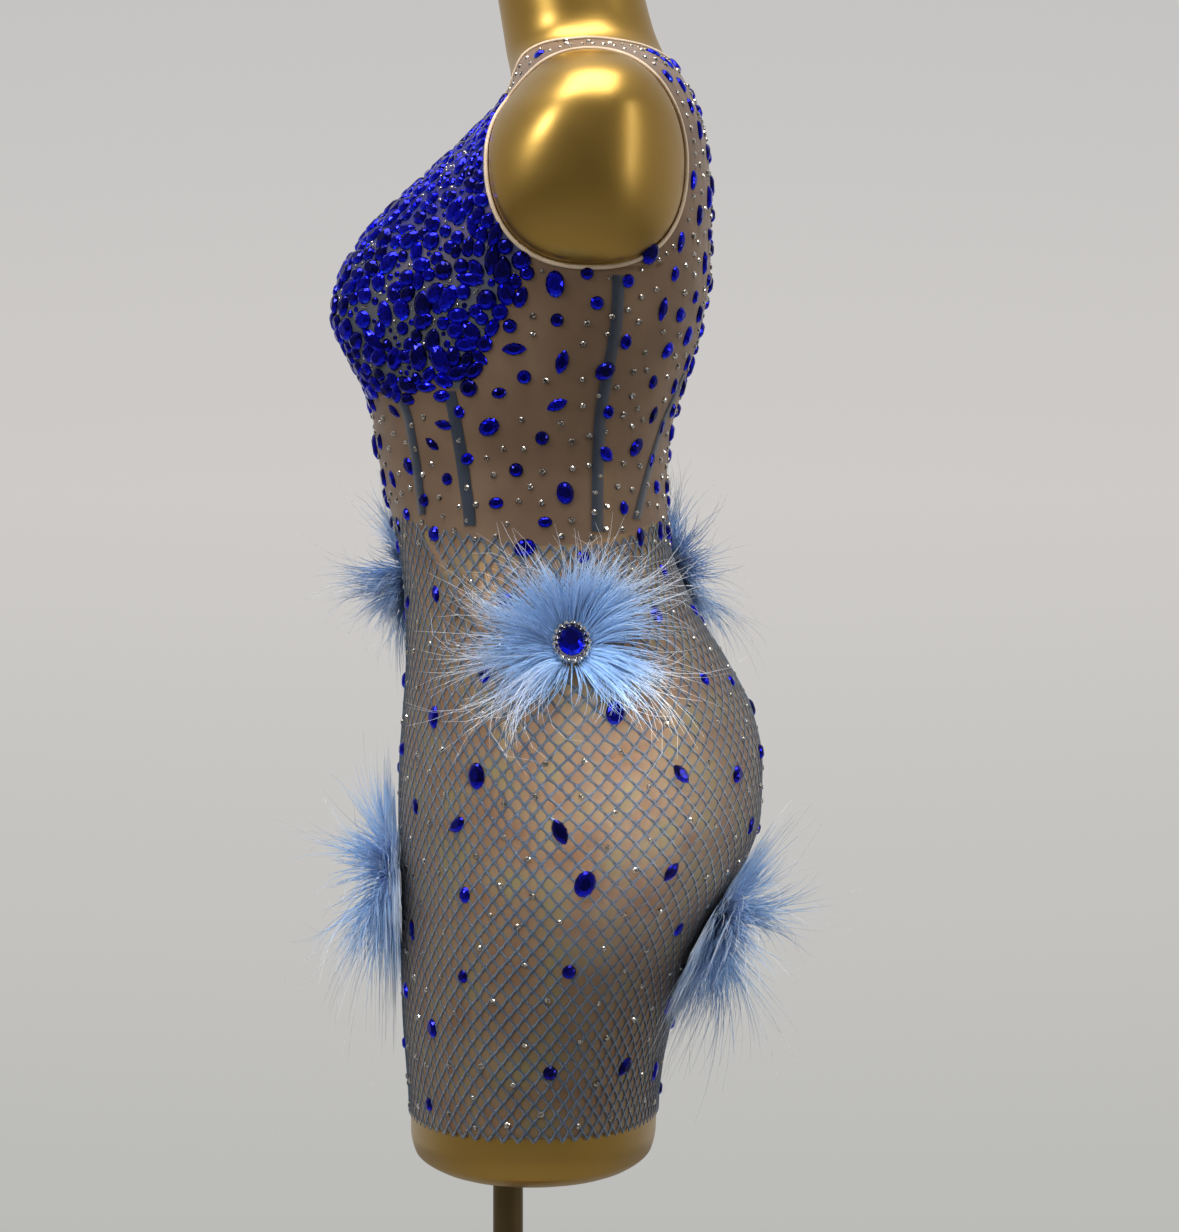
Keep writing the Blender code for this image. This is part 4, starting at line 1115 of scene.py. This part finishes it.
def cut_stone(kind, sides):
    """A stone of width, length and height 1, with a girdle, two rows of facets and a table."""
    turns = math.tau * np.arange(sides) / sides + math.pi / 2
    half = math.pi / sides
    rings = [(stone_outline(kind, turns + turn * half) * share, z) for turn, share, z in CUT_RINGS]
    points = [np.column_stack([flat, np.full(sides, z)]) for flat, z in rings]
    points.append(np.array([[0.0, 0.0, 1.0]]))
    k = np.arange(sides)
    after = (k + 1) % sides
    low, girdle, crown, table = (ring * sides for ring in range(4))
    faces = (
        (low + k, low + after, girdle + after), (low + k, girdle + after, girdle + k),
        (girdle + k, girdle + after, crown + k), (girdle + after, crown + after, crown + k),
        (crown + k, crown + after, table + after), (crown + k, table + after, table + k),
        (table + k, table + after, np.full(sides, 4 * sides)),
    )
    return np.concatenate(points), np.stack(faces, 0).transpose(2, 0, 1).reshape(-1, 3)


def set_stones(name, stones, finish, rng, *nodes, sides=12, rise=0.33, seat=-0.0004, lit=0.9):
    """Joined stones: each is (kind, point, across, up, out, width, length), set on the cloth."""
    points, faces, shades, start = [], [], [], 0
    for kind, point, across, up, out, width, length in stones:
        template, triangles = cut_stone(kind, sides)
        sizes = np.array([width, length, min(width, length) * rise])
        placed = point + (template * sizes + [0, 0, seat]) @ np.array([across, up, out])
        points.append(placed)
        faces.append(triangles + start)
        shades.append(painted_facet_light(placed[triangles], out, rng, lit))
        start += len(template)
    piece = new_mesh(name, np.concatenate(points), np.concatenate(faces), finish, smooth=False)
    # Each facet's painted light: painted shade and painted glints.
    add_value(piece, "shade", np.concatenate(shades), "FACE")
    dress_piece(piece, "blue_glass", *nodes)


def painted_facet_light(corners, out, rng, lit):
    """How bright each facet is painted: painted glints low on the stone, where the light from above comes
    out again, and painted shade above.
    """
    normals = unit(np.cross(corners[:, 1] - corners[:, 0], corners[:, 2] - corners[:, 0]))
    uphill = unit(np.array([0.0, 0.0, 1.0]) - out * out[2])
    downward = np.maximum(0.0, -(normals @ uphill) - 0.12)
    uneven = rng.uniform(-0.10, 0.22) + rng.uniform(-0.12, 0.12, len(corners))
    # Without light from above, each facet is painted a random brightness: painted shade and painted glints.
    if not lit:
        return rng.uniform(0.0, 1.0, len(corners))
    return np.clip(0.20 + lit * downward + uneven, 0, 1)


def lean_axes(angle, height, lean):
    """The middles and the axes of stones that lean over to one side by so many degrees."""
    angle, height = np.atleast_1d(angle).astype(float), np.atleast_1d(height).astype(float)
    across, up, out = surface_axes(angle, height)
    turn = np.radians(np.broadcast_to(lean, angle.shape))[:, None]
    long_way = up * np.cos(turn) + across * np.sin(turn)
    short_way = across * np.cos(turn) - up * np.sin(turn)
    return on_cloth(angle, height), short_way, long_way, out


class StoneField:
    """Keeps the stones apart: each takes three circles along its length."""

    def __init__(self):
        self.spots = np.zeros((0, 3))
        self.radii = np.zeros(0)
        self.stones = {"bodice": [], "skirt": [], "bodice_small": [], "skirt_small": []}

    def block(self, spots, radii):
        self.spots = np.concatenate([self.spots, np.reshape(spots, (-1, 3))])
        self.radii = np.concatenate([self.radii, np.ravel(radii)])

    def clear_of_all(self, spots, radii, gap):
        """Which of these stones, as circles, keep the gap to every stone that is set."""
        clear = np.ones(len(spots), bool)
        for first in range(0, len(spots), FIELD_CHUNK):
            some = slice(first, first + FIELD_CHUNK)
            away = squared_distances(spots[some].reshape(-1, 3), self.spots)
            least = (radii[some].reshape(-1)[:, None] + self.radii[None] + gap) ** 2
            clear[some] = (away > least).reshape(-1, spots.shape[1], len(self.radii)).all((1, 2))
        return clear

    def offer(self, part, kinds, angles, heights, widths, lengths, leans, gap, force=False):
        """Sets each of these stones where it keeps the gap to all that are there, or anyway if forced."""
        if not len(angles):
            return
        points, short_ways, long_ways, outs = lean_axes(angles, heights, leans)
        spots, radii = stone_circles(points, long_ways, np.asarray(widths), np.asarray(lengths))
        able = np.arange(len(kinds)) if force else np.flatnonzero(self.clear_of_all(spots, radii, gap))
        new_spots, new_radii = np.zeros((3 * len(able), 3)), np.zeros(3 * len(able))
        used = 0
        for i in able:
            if used and not force:
                away = squared_distances(spots[i], new_spots[:used])
                if (away <= (radii[i][:, None] + new_radii[None, :used] + gap) ** 2).any():
                    continue
            new_spots[used : used + 3], new_radii[used : used + 3] = spots[i], radii[i]
            used += 3
            axes = (points[i], short_ways[i], long_ways[i], outs[i])
            self.stones[part].append((kinds[i], *axes, widths[i], lengths[i]))
        self.block(new_spots[:used], new_radii[:used])


def squared_distances(these, those):
    return (these ** 2).sum(-1)[:, None] + (those ** 2).sum(-1)[None] - 2 * these @ those.T


def stone_circles(points, long_ways, widths, lengths):
    """Three circles along each stone, which together cover it."""
    reach = (np.maximum(0.0, lengths - widths) / 2 * 1.04)[:, None]
    spots = np.stack([points, points + long_ways * reach, points - long_ways * reach], 1)
    side = np.where(lengths > widths * 1.05, widths * 0.40, widths / 2)
    return spots, np.stack([widths / 2, side, side], -1)


def in_bib(angle, height):
    """Whether places are among the close stones, which end in an uneven line below the cups."""
    turn = np.abs((angle + math.pi) % math.tau - math.pi)
    side = np.radians(np.clip(BIB_LOW_DEGREES + BIB_DEGREES_PER_METRE * (height - BIB_LOW), 0, 88))
    low = BIB_LOW + BIB_WAVE * (np.sin(13 * angle) + 0.6 * np.sin(29 * angle + 1.0))
    return (turn < side) & (height > low) & (height < BIB_TOP + BIB_WAVE * np.sin(17 * angle))


def in_clear_bib(angle, height):
    """Whether places are among the close stones and clear of the cloth's edges."""
    return in_dress(angle, height, BIB_EDGE_CLEAR) & in_bib(angle, height)


def bib_places(rng, tries):
    """Places spread evenly over the bib."""
    angles, heights = random_places(rng, tries, BIB_LOW, NECK_TOP)
    ok = in_clear_bib(angles, heights)
    return angles[ok], heights[ok]


def random_places(rng, count, low, high):
    """Places spread evenly over the body between two heights."""
    height = rng.uniform(low, high, count)
    return from_table(*EVEN_TABLE, rng.uniform(-0.5, 0.5, count), height), height


def bib_sizes(rng, heights):
    """Kinds, widths and lengths of close stones: large ones on the cups, smaller ones up the chest."""
    count = len(heights)
    kinds = np.array(BIB_KINDS)[rng.integers(0, len(BIB_KINDS), count)]
    widths = rng.choice(BIB_WIDTHS, count) * rng.uniform(0.92, 1.08, count)
    widths = widths * np.interp(heights, BIB_SIZE_HEIGHTS, BIB_SIZE_SHARES)
    lengths = widths * rng.uniform(1.22, 1.62, count)
    lengths = np.where(kinds == "round", widths, lengths)
    slim = kinds == "navette"
    return kinds, np.where(slim, widths * 0.86, widths), np.where(slim, lengths * 1.22, lengths)


def touching_pairs(spots, radii, own, others, other_radii, slack):
    """Pairs of circles that touch or nearly do, of different stones."""
    all_spots, all_radii = np.concatenate([spots, others]), np.concatenate([radii, other_radii])
    first, second = [], []
    for start in range(0, len(spots), FIELD_CHUNK):
        some = slice(start, start + FIELD_CHUNK)
        reach = radii[some, None] + all_radii[None] + slack
        i, j = np.nonzero(squared_distances(spots[some], all_spots) < reach ** 2)
        first.append(i + start)
        second.append(j)
    first, second = np.concatenate(first), np.concatenate(second)
    every_own = np.concatenate([own, np.full(len(others), -1)])
    apart = every_own[first] != every_own[second]
    return first[apart], second[apart]


def dot(these, those):
    return (these * those).sum(-1)


def slide(angles, heights, shift):
    """How far places move in angle and in height when they are shifted by these vectors."""
    turn, rise = 0.002, 0.0005
    along_turn = (on_body(angles + turn, heights) - on_body(angles - turn, heights)) / (2 * turn)
    along_rise = (on_body(angles, heights + rise) - on_body(angles, heights - rise)) / (2 * rise)
    a, b, c = dot(along_turn, along_turn), dot(along_turn, along_rise), dot(along_rise, along_rise)
    p, q = dot(shift, along_turn), dot(shift, along_rise)
    area = a * c - b * b
    return (c * p - b * q) / area, (a * q - b * p) / area


def settle_stones(angles, heights, leans, widths, lengths, others, other_radii):
    """Pushes close stones apart, turning them a little, until they lie side by side inside the bib."""
    count = len(angles)
    own = np.repeat(np.arange(count), 3)
    other_radii = other_radii + STONE_GAP / 2
    for step in range(BIB_STEPS):
        points, _, long_ways, outs = lean_axes(angles, heights, np.degrees(leans))
        spots, radii = stone_circles(points, long_ways, widths, lengths)
        spots, radii = spots.reshape(-1, 3), radii.ravel() + STONE_GAP / 2
        if step % BIB_PAIR_STEPS == 0:
            first, second = touching_pairs(spots, radii, own, others, other_radii, BIB_PAIR_SLACK)
        apart = spots[first] - np.concatenate([spots, others])[second]
        away = np.sqrt(dot(apart, apart)) + 1e-9
        over = np.maximum(0.0, radii[first] + np.concatenate([radii, other_radii])[second] - away)
        push = apart * (over / away * BIB_PUSH)[:, None]
        turning = dot(np.cross(spots[first] - points[own[first]], push), outs[own[first]])
        twist = np.bincount(own[first], turning, count)
        leans = leans - np.clip(twist / (lengths / 2) ** 2, -BIB_MOST_TWIST, BIB_MOST_TWIST)
        shift = np.stack([np.bincount(own[first], push[:, k], count) for k in range(3)], -1)
        turn, rise = slide(angles, heights, shift)
        new_angles = angles + np.clip(turn, -BIB_MOST_TURN, BIB_MOST_TURN)
        new_heights = heights + np.clip(rise, -BIB_MOST_RISE, BIB_MOST_RISE)
        ok = in_clear_bib(new_angles, new_heights)
        angles, heights = np.where(ok, new_angles, angles), np.where(ok, new_heights, heights)
    return angles, heights, leans


def bib_stones(field, rng):
    """Covers the cups and the chest with stones that lie side by side."""
    angles, heights = bib_places(rng, BIB_TRIES)
    kinds, widths, lengths = bib_sizes(rng, heights)
    points, spans = on_cloth(angles, heights), np.sqrt(widths * lengths) / 2
    kept = []
    for i, point in enumerate(points):
        away = np.linalg.norm(points[kept] - point, axis=-1)
        if (away >= (spans[kept] + spans[i]) * BIB_CROWDING).all():
            kept.append(i)
    angles, heights, kinds, widths, lengths = (v[kept] for v in (angles, heights, kinds, widths, lengths))
    leans = np.radians(rng.choice(BIB_LEANS, len(kept)) + rng.normal(0, BIB_LEAN_SPREAD, len(kept)))
    near = (field.spots[:, 2] > BIB_LOW - BIB_NEAR) & (field.spots[:, 1] < BIB_NEAR_Y)
    others = field.spots[near], field.radii[near]
    angles, heights, leans = settle_stones(angles, heights, leans, widths, lengths, *others)
    widths, lengths, leans = widths * BIB_SWELL, lengths * BIB_SWELL, np.degrees(leans)
    order = np.argsort(-widths * lengths)
    rows = (values[order] for values in (kinds, angles, heights, widths, lengths, leans))
    field.offer("bodice", *rows, BIB_OVERLAP)
    for low, high, tries in BIB_FILLERS:
        angles, heights = bib_places(rng, tries)
        widths = rng.uniform(low, high, len(angles))
        kinds, level = np.full(len(widths), "round"), np.zeros(len(widths))
        field.offer("bodice", kinds, angles, heights, widths, widths, level, FILLER_GAP)


def scattered_stones(field, rng):
    """The stones that the photograph shows singly, with like ones on the wearer's right."""
    for stone in rows_of(STONE_COLUMNS, SEEN_STONES):
        angle, height = place_in_photo(stone["photo_x"], stone["photo_y"])
        part = "bodice" if height > waist_height(angle) else "skirt"
        size = ([stone["width_mm"] / 1000], [stone["length_mm"] / 1000])
        kind = [stone["kind"]]
        field.offer(part, kind, [angle], [height], *size, stone["lean"], 0.0, force=True)
        if abs(math.degrees(angle) - 90) < LIKE_DEGREES:
            away, level = -angle + rng.normal(0, LIKE_TURN), height + rng.normal(0, LIKE_RISE)
            field.offer(part, kind, [away], [level], *size, -stone["lean"], LIKE_GAP)


def far_stones(field, rng):
    """Scattered stones on the sides that the photograph hides."""
    for part, low, high, tries, apart in SCATTER_BANDS:
        angles, heights = random_places(rng, tries, low, high)
        seen = (np.degrees(angles) > SEEN_DEGREES[0]) & (np.degrees(angles) < SEEN_DEGREES[1])
        ok = in_dress(angles, heights, SCATTER_EDGE_CLEAR) & ~seen & ~in_bib(angles, heights)
        angles, heights = angles[ok], heights[ok]
        kinds = np.array(SCATTER_KINDS)[rng.integers(0, len(SCATTER_KINDS), len(angles))]
        widths = rng.uniform(*SCATTER_WIDTHS, len(angles))
        lengths = np.where(kinds == "round", widths, widths * rng.uniform(1.2, 1.75, len(angles)))
        leans = rng.uniform(-60, 60, len(angles))
        field.offer(part, kinds, angles, heights, widths, lengths, leans, apart)


def small_stones(field, rng):
    """The small clear stones between the blue ones, with a close row along the neckline and the armholes."""

    def offer_round(part, angles, heights, widths, gap):
        sizes = rng.uniform(*widths, len(angles))
        kinds, turns = np.full(len(angles), "round"), rng.uniform(0, 90, len(angles))
        field.offer(part + "_small", kinds, angles, heights, sizes, sizes, turns, gap)

    angles, heights = armhole(np.linspace(0, math.tau, 62, endpoint=False), ARMHOLE_EDGE + 0.075)
    for _, side in SIDES:
        offer_round("bodice", side * angles, heights, EDGE_WIDTHS, 0.0010)
        for is_front in (True, False):
            edge_angles, edge_heights = neckline(np.linspace(0, np.pi / 2, 20), is_front)
            offer_round("bodice", side * edge_angles, edge_heights - 0.0045, EDGE_WIDTHS, 0.0008)
    for part, low, high, tries, apart in SMALL_BANDS:
        angles, heights = random_places(rng, tries, low, high)
        inside, close = in_dress(angles, heights, SMALL_EDGE_CLEAR), in_bib(angles, heights)
        offer_round(part, angles[inside & close], heights[inside & close], CLOSE_WIDTHS, CLOSE_GAP)
        offer_round(part, angles[inside & ~close], heights[inside & ~close], SMALL_WIDTHS, apart)


def rosette_frame(rosette):
    """A rosette's place on the cloth and its axes: across, up and out."""
    place = (math.radians(rosette["angle"]), rosette["height"])
    return on_body(*place), *surface_axes(*place)


def tuft_headings(rosette, rng):
    """Headings for the tufts: fewer where the rosette is thin, and fewer up and down in a wide one."""
    tries = rng.uniform(-180, 180, TUFTS * 12)
    away = (tries - rosette["thin_heading"] + 180) % 360 - 180
    thin = (np.abs(away) < THIN_HALF_WIDTH) & (rng.uniform(0, 1, len(tries)) < THIN_SHARE)
    upright = np.sin(np.radians(tries)) ** 2
    spare = rng.uniform(0, 1, len(tries)) < UPRIGHT_LOSS * rosette["longer_across"] * upright
    return np.radians(tries[~thin & ~spare][:TUFTS])


def feather_barbs(rosette, rng):
    """The barbs of a rosette: tufts of soft strands that part, bend over and thin out to wisps."""
    point, across, up, out = rosette_frame(rosette)
    tuft_heading = tuft_headings(rosette, rng)
    tuft_lift = np.radians(rng.choice(TUFT_LIFTS, TUFTS) + rng.normal(0, TUFT_LIFT_SPREAD, TUFTS))
    tuft_reach = rng.uniform(*TUFT_REACHES, TUFTS)
    tuft_swirl = rng.normal(0, TUFT_SWIRL, TUFTS)
    tuft_bend = np.radians(rng.normal(*TUFT_BEND, TUFTS))
    tuft = rng.integers(0, TUFTS, BARBS)
    kind = rng.choice(3, BARBS, p=BARB_SHARES)
    apart, swirls, gather, thicks = np.array([BARB_SPREADS, BARB_SWIRLS, BARB_GATHERS, BARB_THICKS])[:, kind]
    aside = rng.normal(0, 1, BARBS) * apart
    heading = tuft_heading[tuft] + aside
    lift = np.clip(tuft_lift[tuft] + rng.normal(0, 0.8, BARBS) * apart, *BARB_LIFTS)
    favour = 1 + rosette["longer_across"] * np.cos(heading) ** 2 - BARB_UP_LOSS * np.sin(heading)
    low, high = np.array(BARB_LENGTHS).T
    length = rosette["reach"] * favour * rng.uniform(low[kind], high[kind])
    length *= np.where(kind == 0, 1.0, tuft_reach[tuft])
    bend = tuft_bend[tuft] + np.radians(rng.normal(0, BARB_BEND_SPREAD, BARBS))
    swirl = tuft_swirl[tuft] + rng.normal(0, 1, BARBS) * swirls
    sag = rng.uniform(*BARB_SAGS, BARBS)
    rim = rng.uniform(*BARB_RIMS, BARBS)
    rim = np.where(lift < BARB_UNDER_LIFT, rng.uniform(*BARB_UNDER_RIMS, BARBS), rim)
    root = rng.uniform(*BARB_ROOTS, BARBS)
    flat = rim * np.cos(heading) * BROOCH_HALF_WIDTH, rim * np.sin(heading) * BROOCH_HALF_HEIGHT
    line = [point + np.stack([*flat, root], -1) @ np.array([across, up, out])]
    share = np.linspace(0, 1, BARB_POINTS)
    for s in share[1:]:
        rise = np.maximum(lift - bend * s * BARB_BEND_RATE, BARB_LEAST_RISE)
        way = heading - gather * aside * s + swirl * s ** BARB_SWIRL_POWER
        step = np.stack([np.cos(rise) * np.cos(way), np.cos(rise) * np.sin(way), np.sin(rise)], -1)
        step = step @ np.array([across, up, out])
        step[:, 2] -= sag * s * s
        line.append(line[-1] + unit(step) * (length / (BARB_POINTS - 1))[:, None])
    centres = np.stack(line, 1)
    normals = np.repeat(unit(rng.normal(0, 1, (BARBS, 3)))[:, None, :], BARB_POINTS, axis=1)
    taper = 1 - share ** BARB_TAPER_POWER
    thick = BARB_TIP + (thicks * rng.uniform(0.8, 1.2, BARBS))[:, None] * taper
    points, faces = tubes(centres, normals, thick, thick)
    along = share * (length / rosette["reach"])[:, None] + WISP_PALER * (kind == WISP)[:, None]
    tone = TONE_MIDDLE + TONE_TUFT * rng.normal(0, 1, TUFTS)[tuft] + rng.normal(0, TONE_BARB, BARBS)
    along, tone = np.clip(along, 0, 1), np.clip(tone, 0, 1)
    return points, faces, np.repeat(along, 3, axis=1), np.repeat(tone, BARB_POINTS * 3)


def feather_rosette(rosette, materials, rng):
    """The feathers of a rosette and the brooch in its middle: a stone, a ring of small ones and a plate."""
    name = rosette["name"]
    points, faces, along, shade = feather_barbs(rosette, rng)
    piece = new_mesh("rosette_%s_feathers" % name, points, faces, materials["blue_feather"])
    add_value(piece, "along", along)
    add_value(piece, "shade", shade)
    dress_piece(piece, "blue_feather", "rosette_" + name)
    point, across, up, out = rosette_frame(rosette)
    seat = point + out * BROOCH_SEAT

    def oval(count):
        turns = np.linspace(0, math.tau, count, endpoint=False)
        flat = np.stack([np.cos(turns) * BROOCH_HALF_WIDTH, np.sin(turns) * BROOCH_HALF_HEIGHT], -1)
        return flat @ np.array([across, up])

    stone = [("oval", seat, across, up, out, *BROOCH_STONE)]
    base = "brooch_" + name
    # The brooch stone's facets are painted bright low down and dark above: painted glints and painted shade.
    set_stones(base + "_stone", stone, materials["blue_glass"], rng, base, sides=20, rise=0.42, seat=0.0004)
    ring = [("round", seat + flat * RING_SHARE, across, up, out, *RING_STONE) for flat in oval(RING_STONES)]
    # The ring's stones get the brighter painted glass: painted sparkle.
    set_stones(base + "_ring", ring, materials["bright_glass"], rng, sides=8, rise=0.42, seat=0.0012, lit=0)
    plate = [seat + oval(PLATE_SIDES) * share + out * rise for share, rise in PLATE_PROFILE]
    dress_piece(lofted(base + "_plate", plate, materials["silver"]), "blue_glass")


def build_form(materials):
    """The form and its stand."""
    form_torso(materials["gold_skin"])
    for label, side in SIDES:
        form_cap(label, side, materials["gold_skin"])
    stand(materials["stand_metal"])


def build_dress(materials):
    """The cloth, its trims, its net, its stones and its rosettes."""
    rng = np.random.default_rng(11)
    bodice, skirt = (materials["nude_mesh"], "nude_mesh"), (materials["skirt_mesh"], "net_mesh", True)
    panels = {
        "bodice_front": cloth_panel("bodice_front_cloth", *bodice_rows(**BODICE_FRONT), *bodice),
        "bodice_back": cloth_panel("bodice_back_cloth", *bodice_rows(**BODICE_BACK), *bodice),
        "skirt_front": cloth_panel("skirt_front_cloth", *skirt_rows(True), *skirt),
        "skirt_back": cloth_panel("skirt_back_cloth", *skirt_rows(False), *skirt),
    }
    bindings(materials["binding_cloth"])
    boning_tapes(materials["blue_tape"])
    skirt_net(materials["net_cord"], rng)
    rosettes = rows_of(ROSETTE_COLUMNS, ROSETTES)
    set_all_stones(materials, rosettes, rng)
    for rosette in rosettes:
        feather_rosette(rosette, materials, rng)


def set_all_stones(materials, rosettes, rng):
    """The blue and the clear stones, each kind as one piece on the bodice and one on the skirt."""
    field = StoneField()
    for rosette in rosettes:
        field.block(rosette_frame(rosette)[0], ROSETTE_CLEAR)
    for set_some in (scattered_stones, bib_stones, far_stones, small_stones):
        set_some(field, rng)
    for part in ("bodice", "skirt"):
        set_stones(part + "_stones", field.stones[part], materials["blue_glass"], rng)
        small = field.stones[part + "_small"]
        set_stones(part + "_small_stones", small, materials["clear_glass"], rng, sides=8, rise=0.42, lit=0)


def area_light(name, place, target, size, spread, watts, colour, serves):
    """A soft panel of light that points at its target."""
    light = bpy.data.lights.new(name, "AREA")
    light.shape = "RECTANGLE"
    light.size, light.size_y = size
    light.spread = math.radians(spread)
    light.energy = watts
    light.color = colour
    lamp = bpy.data.objects.new(name, light)
    lamp.location = place
    lamp.rotation_euler = (Vector(target) - Vector(place)).to_track_quat("-Z", "Y").to_euler()
    lamp.visible_glossy = serves != "cloth"
    lamp.visible_diffuse = serves != "gloss"
    bpy.context.scene.collection.objects.link(lamp)


def studio():
    """A pale round floor, soft light and a pale surrounding, brightest at eye level."""
    turns = np.linspace(0, math.tau, FLOOR_SIDES, endpoint=False)
    rim = np.stack([np.cos(turns), np.sin(turns), 0 * turns], -1) * FLOOR_RADIUS
    new_mesh("floor", rim, np.arange(FLOOR_SIDES)[None], plain_finish(*FLOOR_FINISH))
    world = bpy.data.worlds.new("surrounding")
    world.use_nodes = True
    bpy.context.scene.world = world
    background = world.node_tree.nodes["Background"]
    split = add_node(world, "ShaderNodeSeparateXYZ")
    link(world, add_node(world, "ShaderNodeTexCoord").outputs["Generated"], split.inputs["Vector"])
    upward = spread(world, split.outputs["Z"], 0.0, 1.0, -1.0)
    link(world, ramp(world, upward, SURROUNDING), background.inputs["Color"])
    aside = spread(world, split.outputs["X"], 1.0, ROOM_SIDE_SHARE, -1.0)
    link(world, aside, background.inputs["Strength"])
    for light in rows_of(LIGHT_COLUMNS, LIGHTS):
        area_light(**light)


def camera():
    """The photograph's camera: level, looking along -X."""
    data = bpy.data.cameras.new("photo_camera")
    data.sensor_width = SENSOR_MM
    data.lens = SENSOR_MM * FOCAL_PX / PHOTO_HEIGHT
    made = bpy.data.objects.new("photo_camera", data)
    made.location = (CAMERA_X, CAMERA_Y, CAMERA_HEIGHT)
    made.rotation_euler = (math.radians(90), 0.0, math.radians(90))
    bpy.context.scene.collection.objects.link(made)
    bpy.context.scene.camera = made


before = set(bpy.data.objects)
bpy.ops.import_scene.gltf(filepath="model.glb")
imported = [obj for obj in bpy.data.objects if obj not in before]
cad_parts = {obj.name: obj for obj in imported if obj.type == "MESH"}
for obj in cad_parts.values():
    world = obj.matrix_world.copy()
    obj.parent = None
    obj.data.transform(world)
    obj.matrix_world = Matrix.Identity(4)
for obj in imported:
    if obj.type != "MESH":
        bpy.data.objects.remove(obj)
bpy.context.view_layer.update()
camera()
studio()
MATERIALS = make_materials()
build_form(MATERIALS)
build_dress(MATERIALS)
bpy.context.scene.view_settings.view_transform = "Standard"
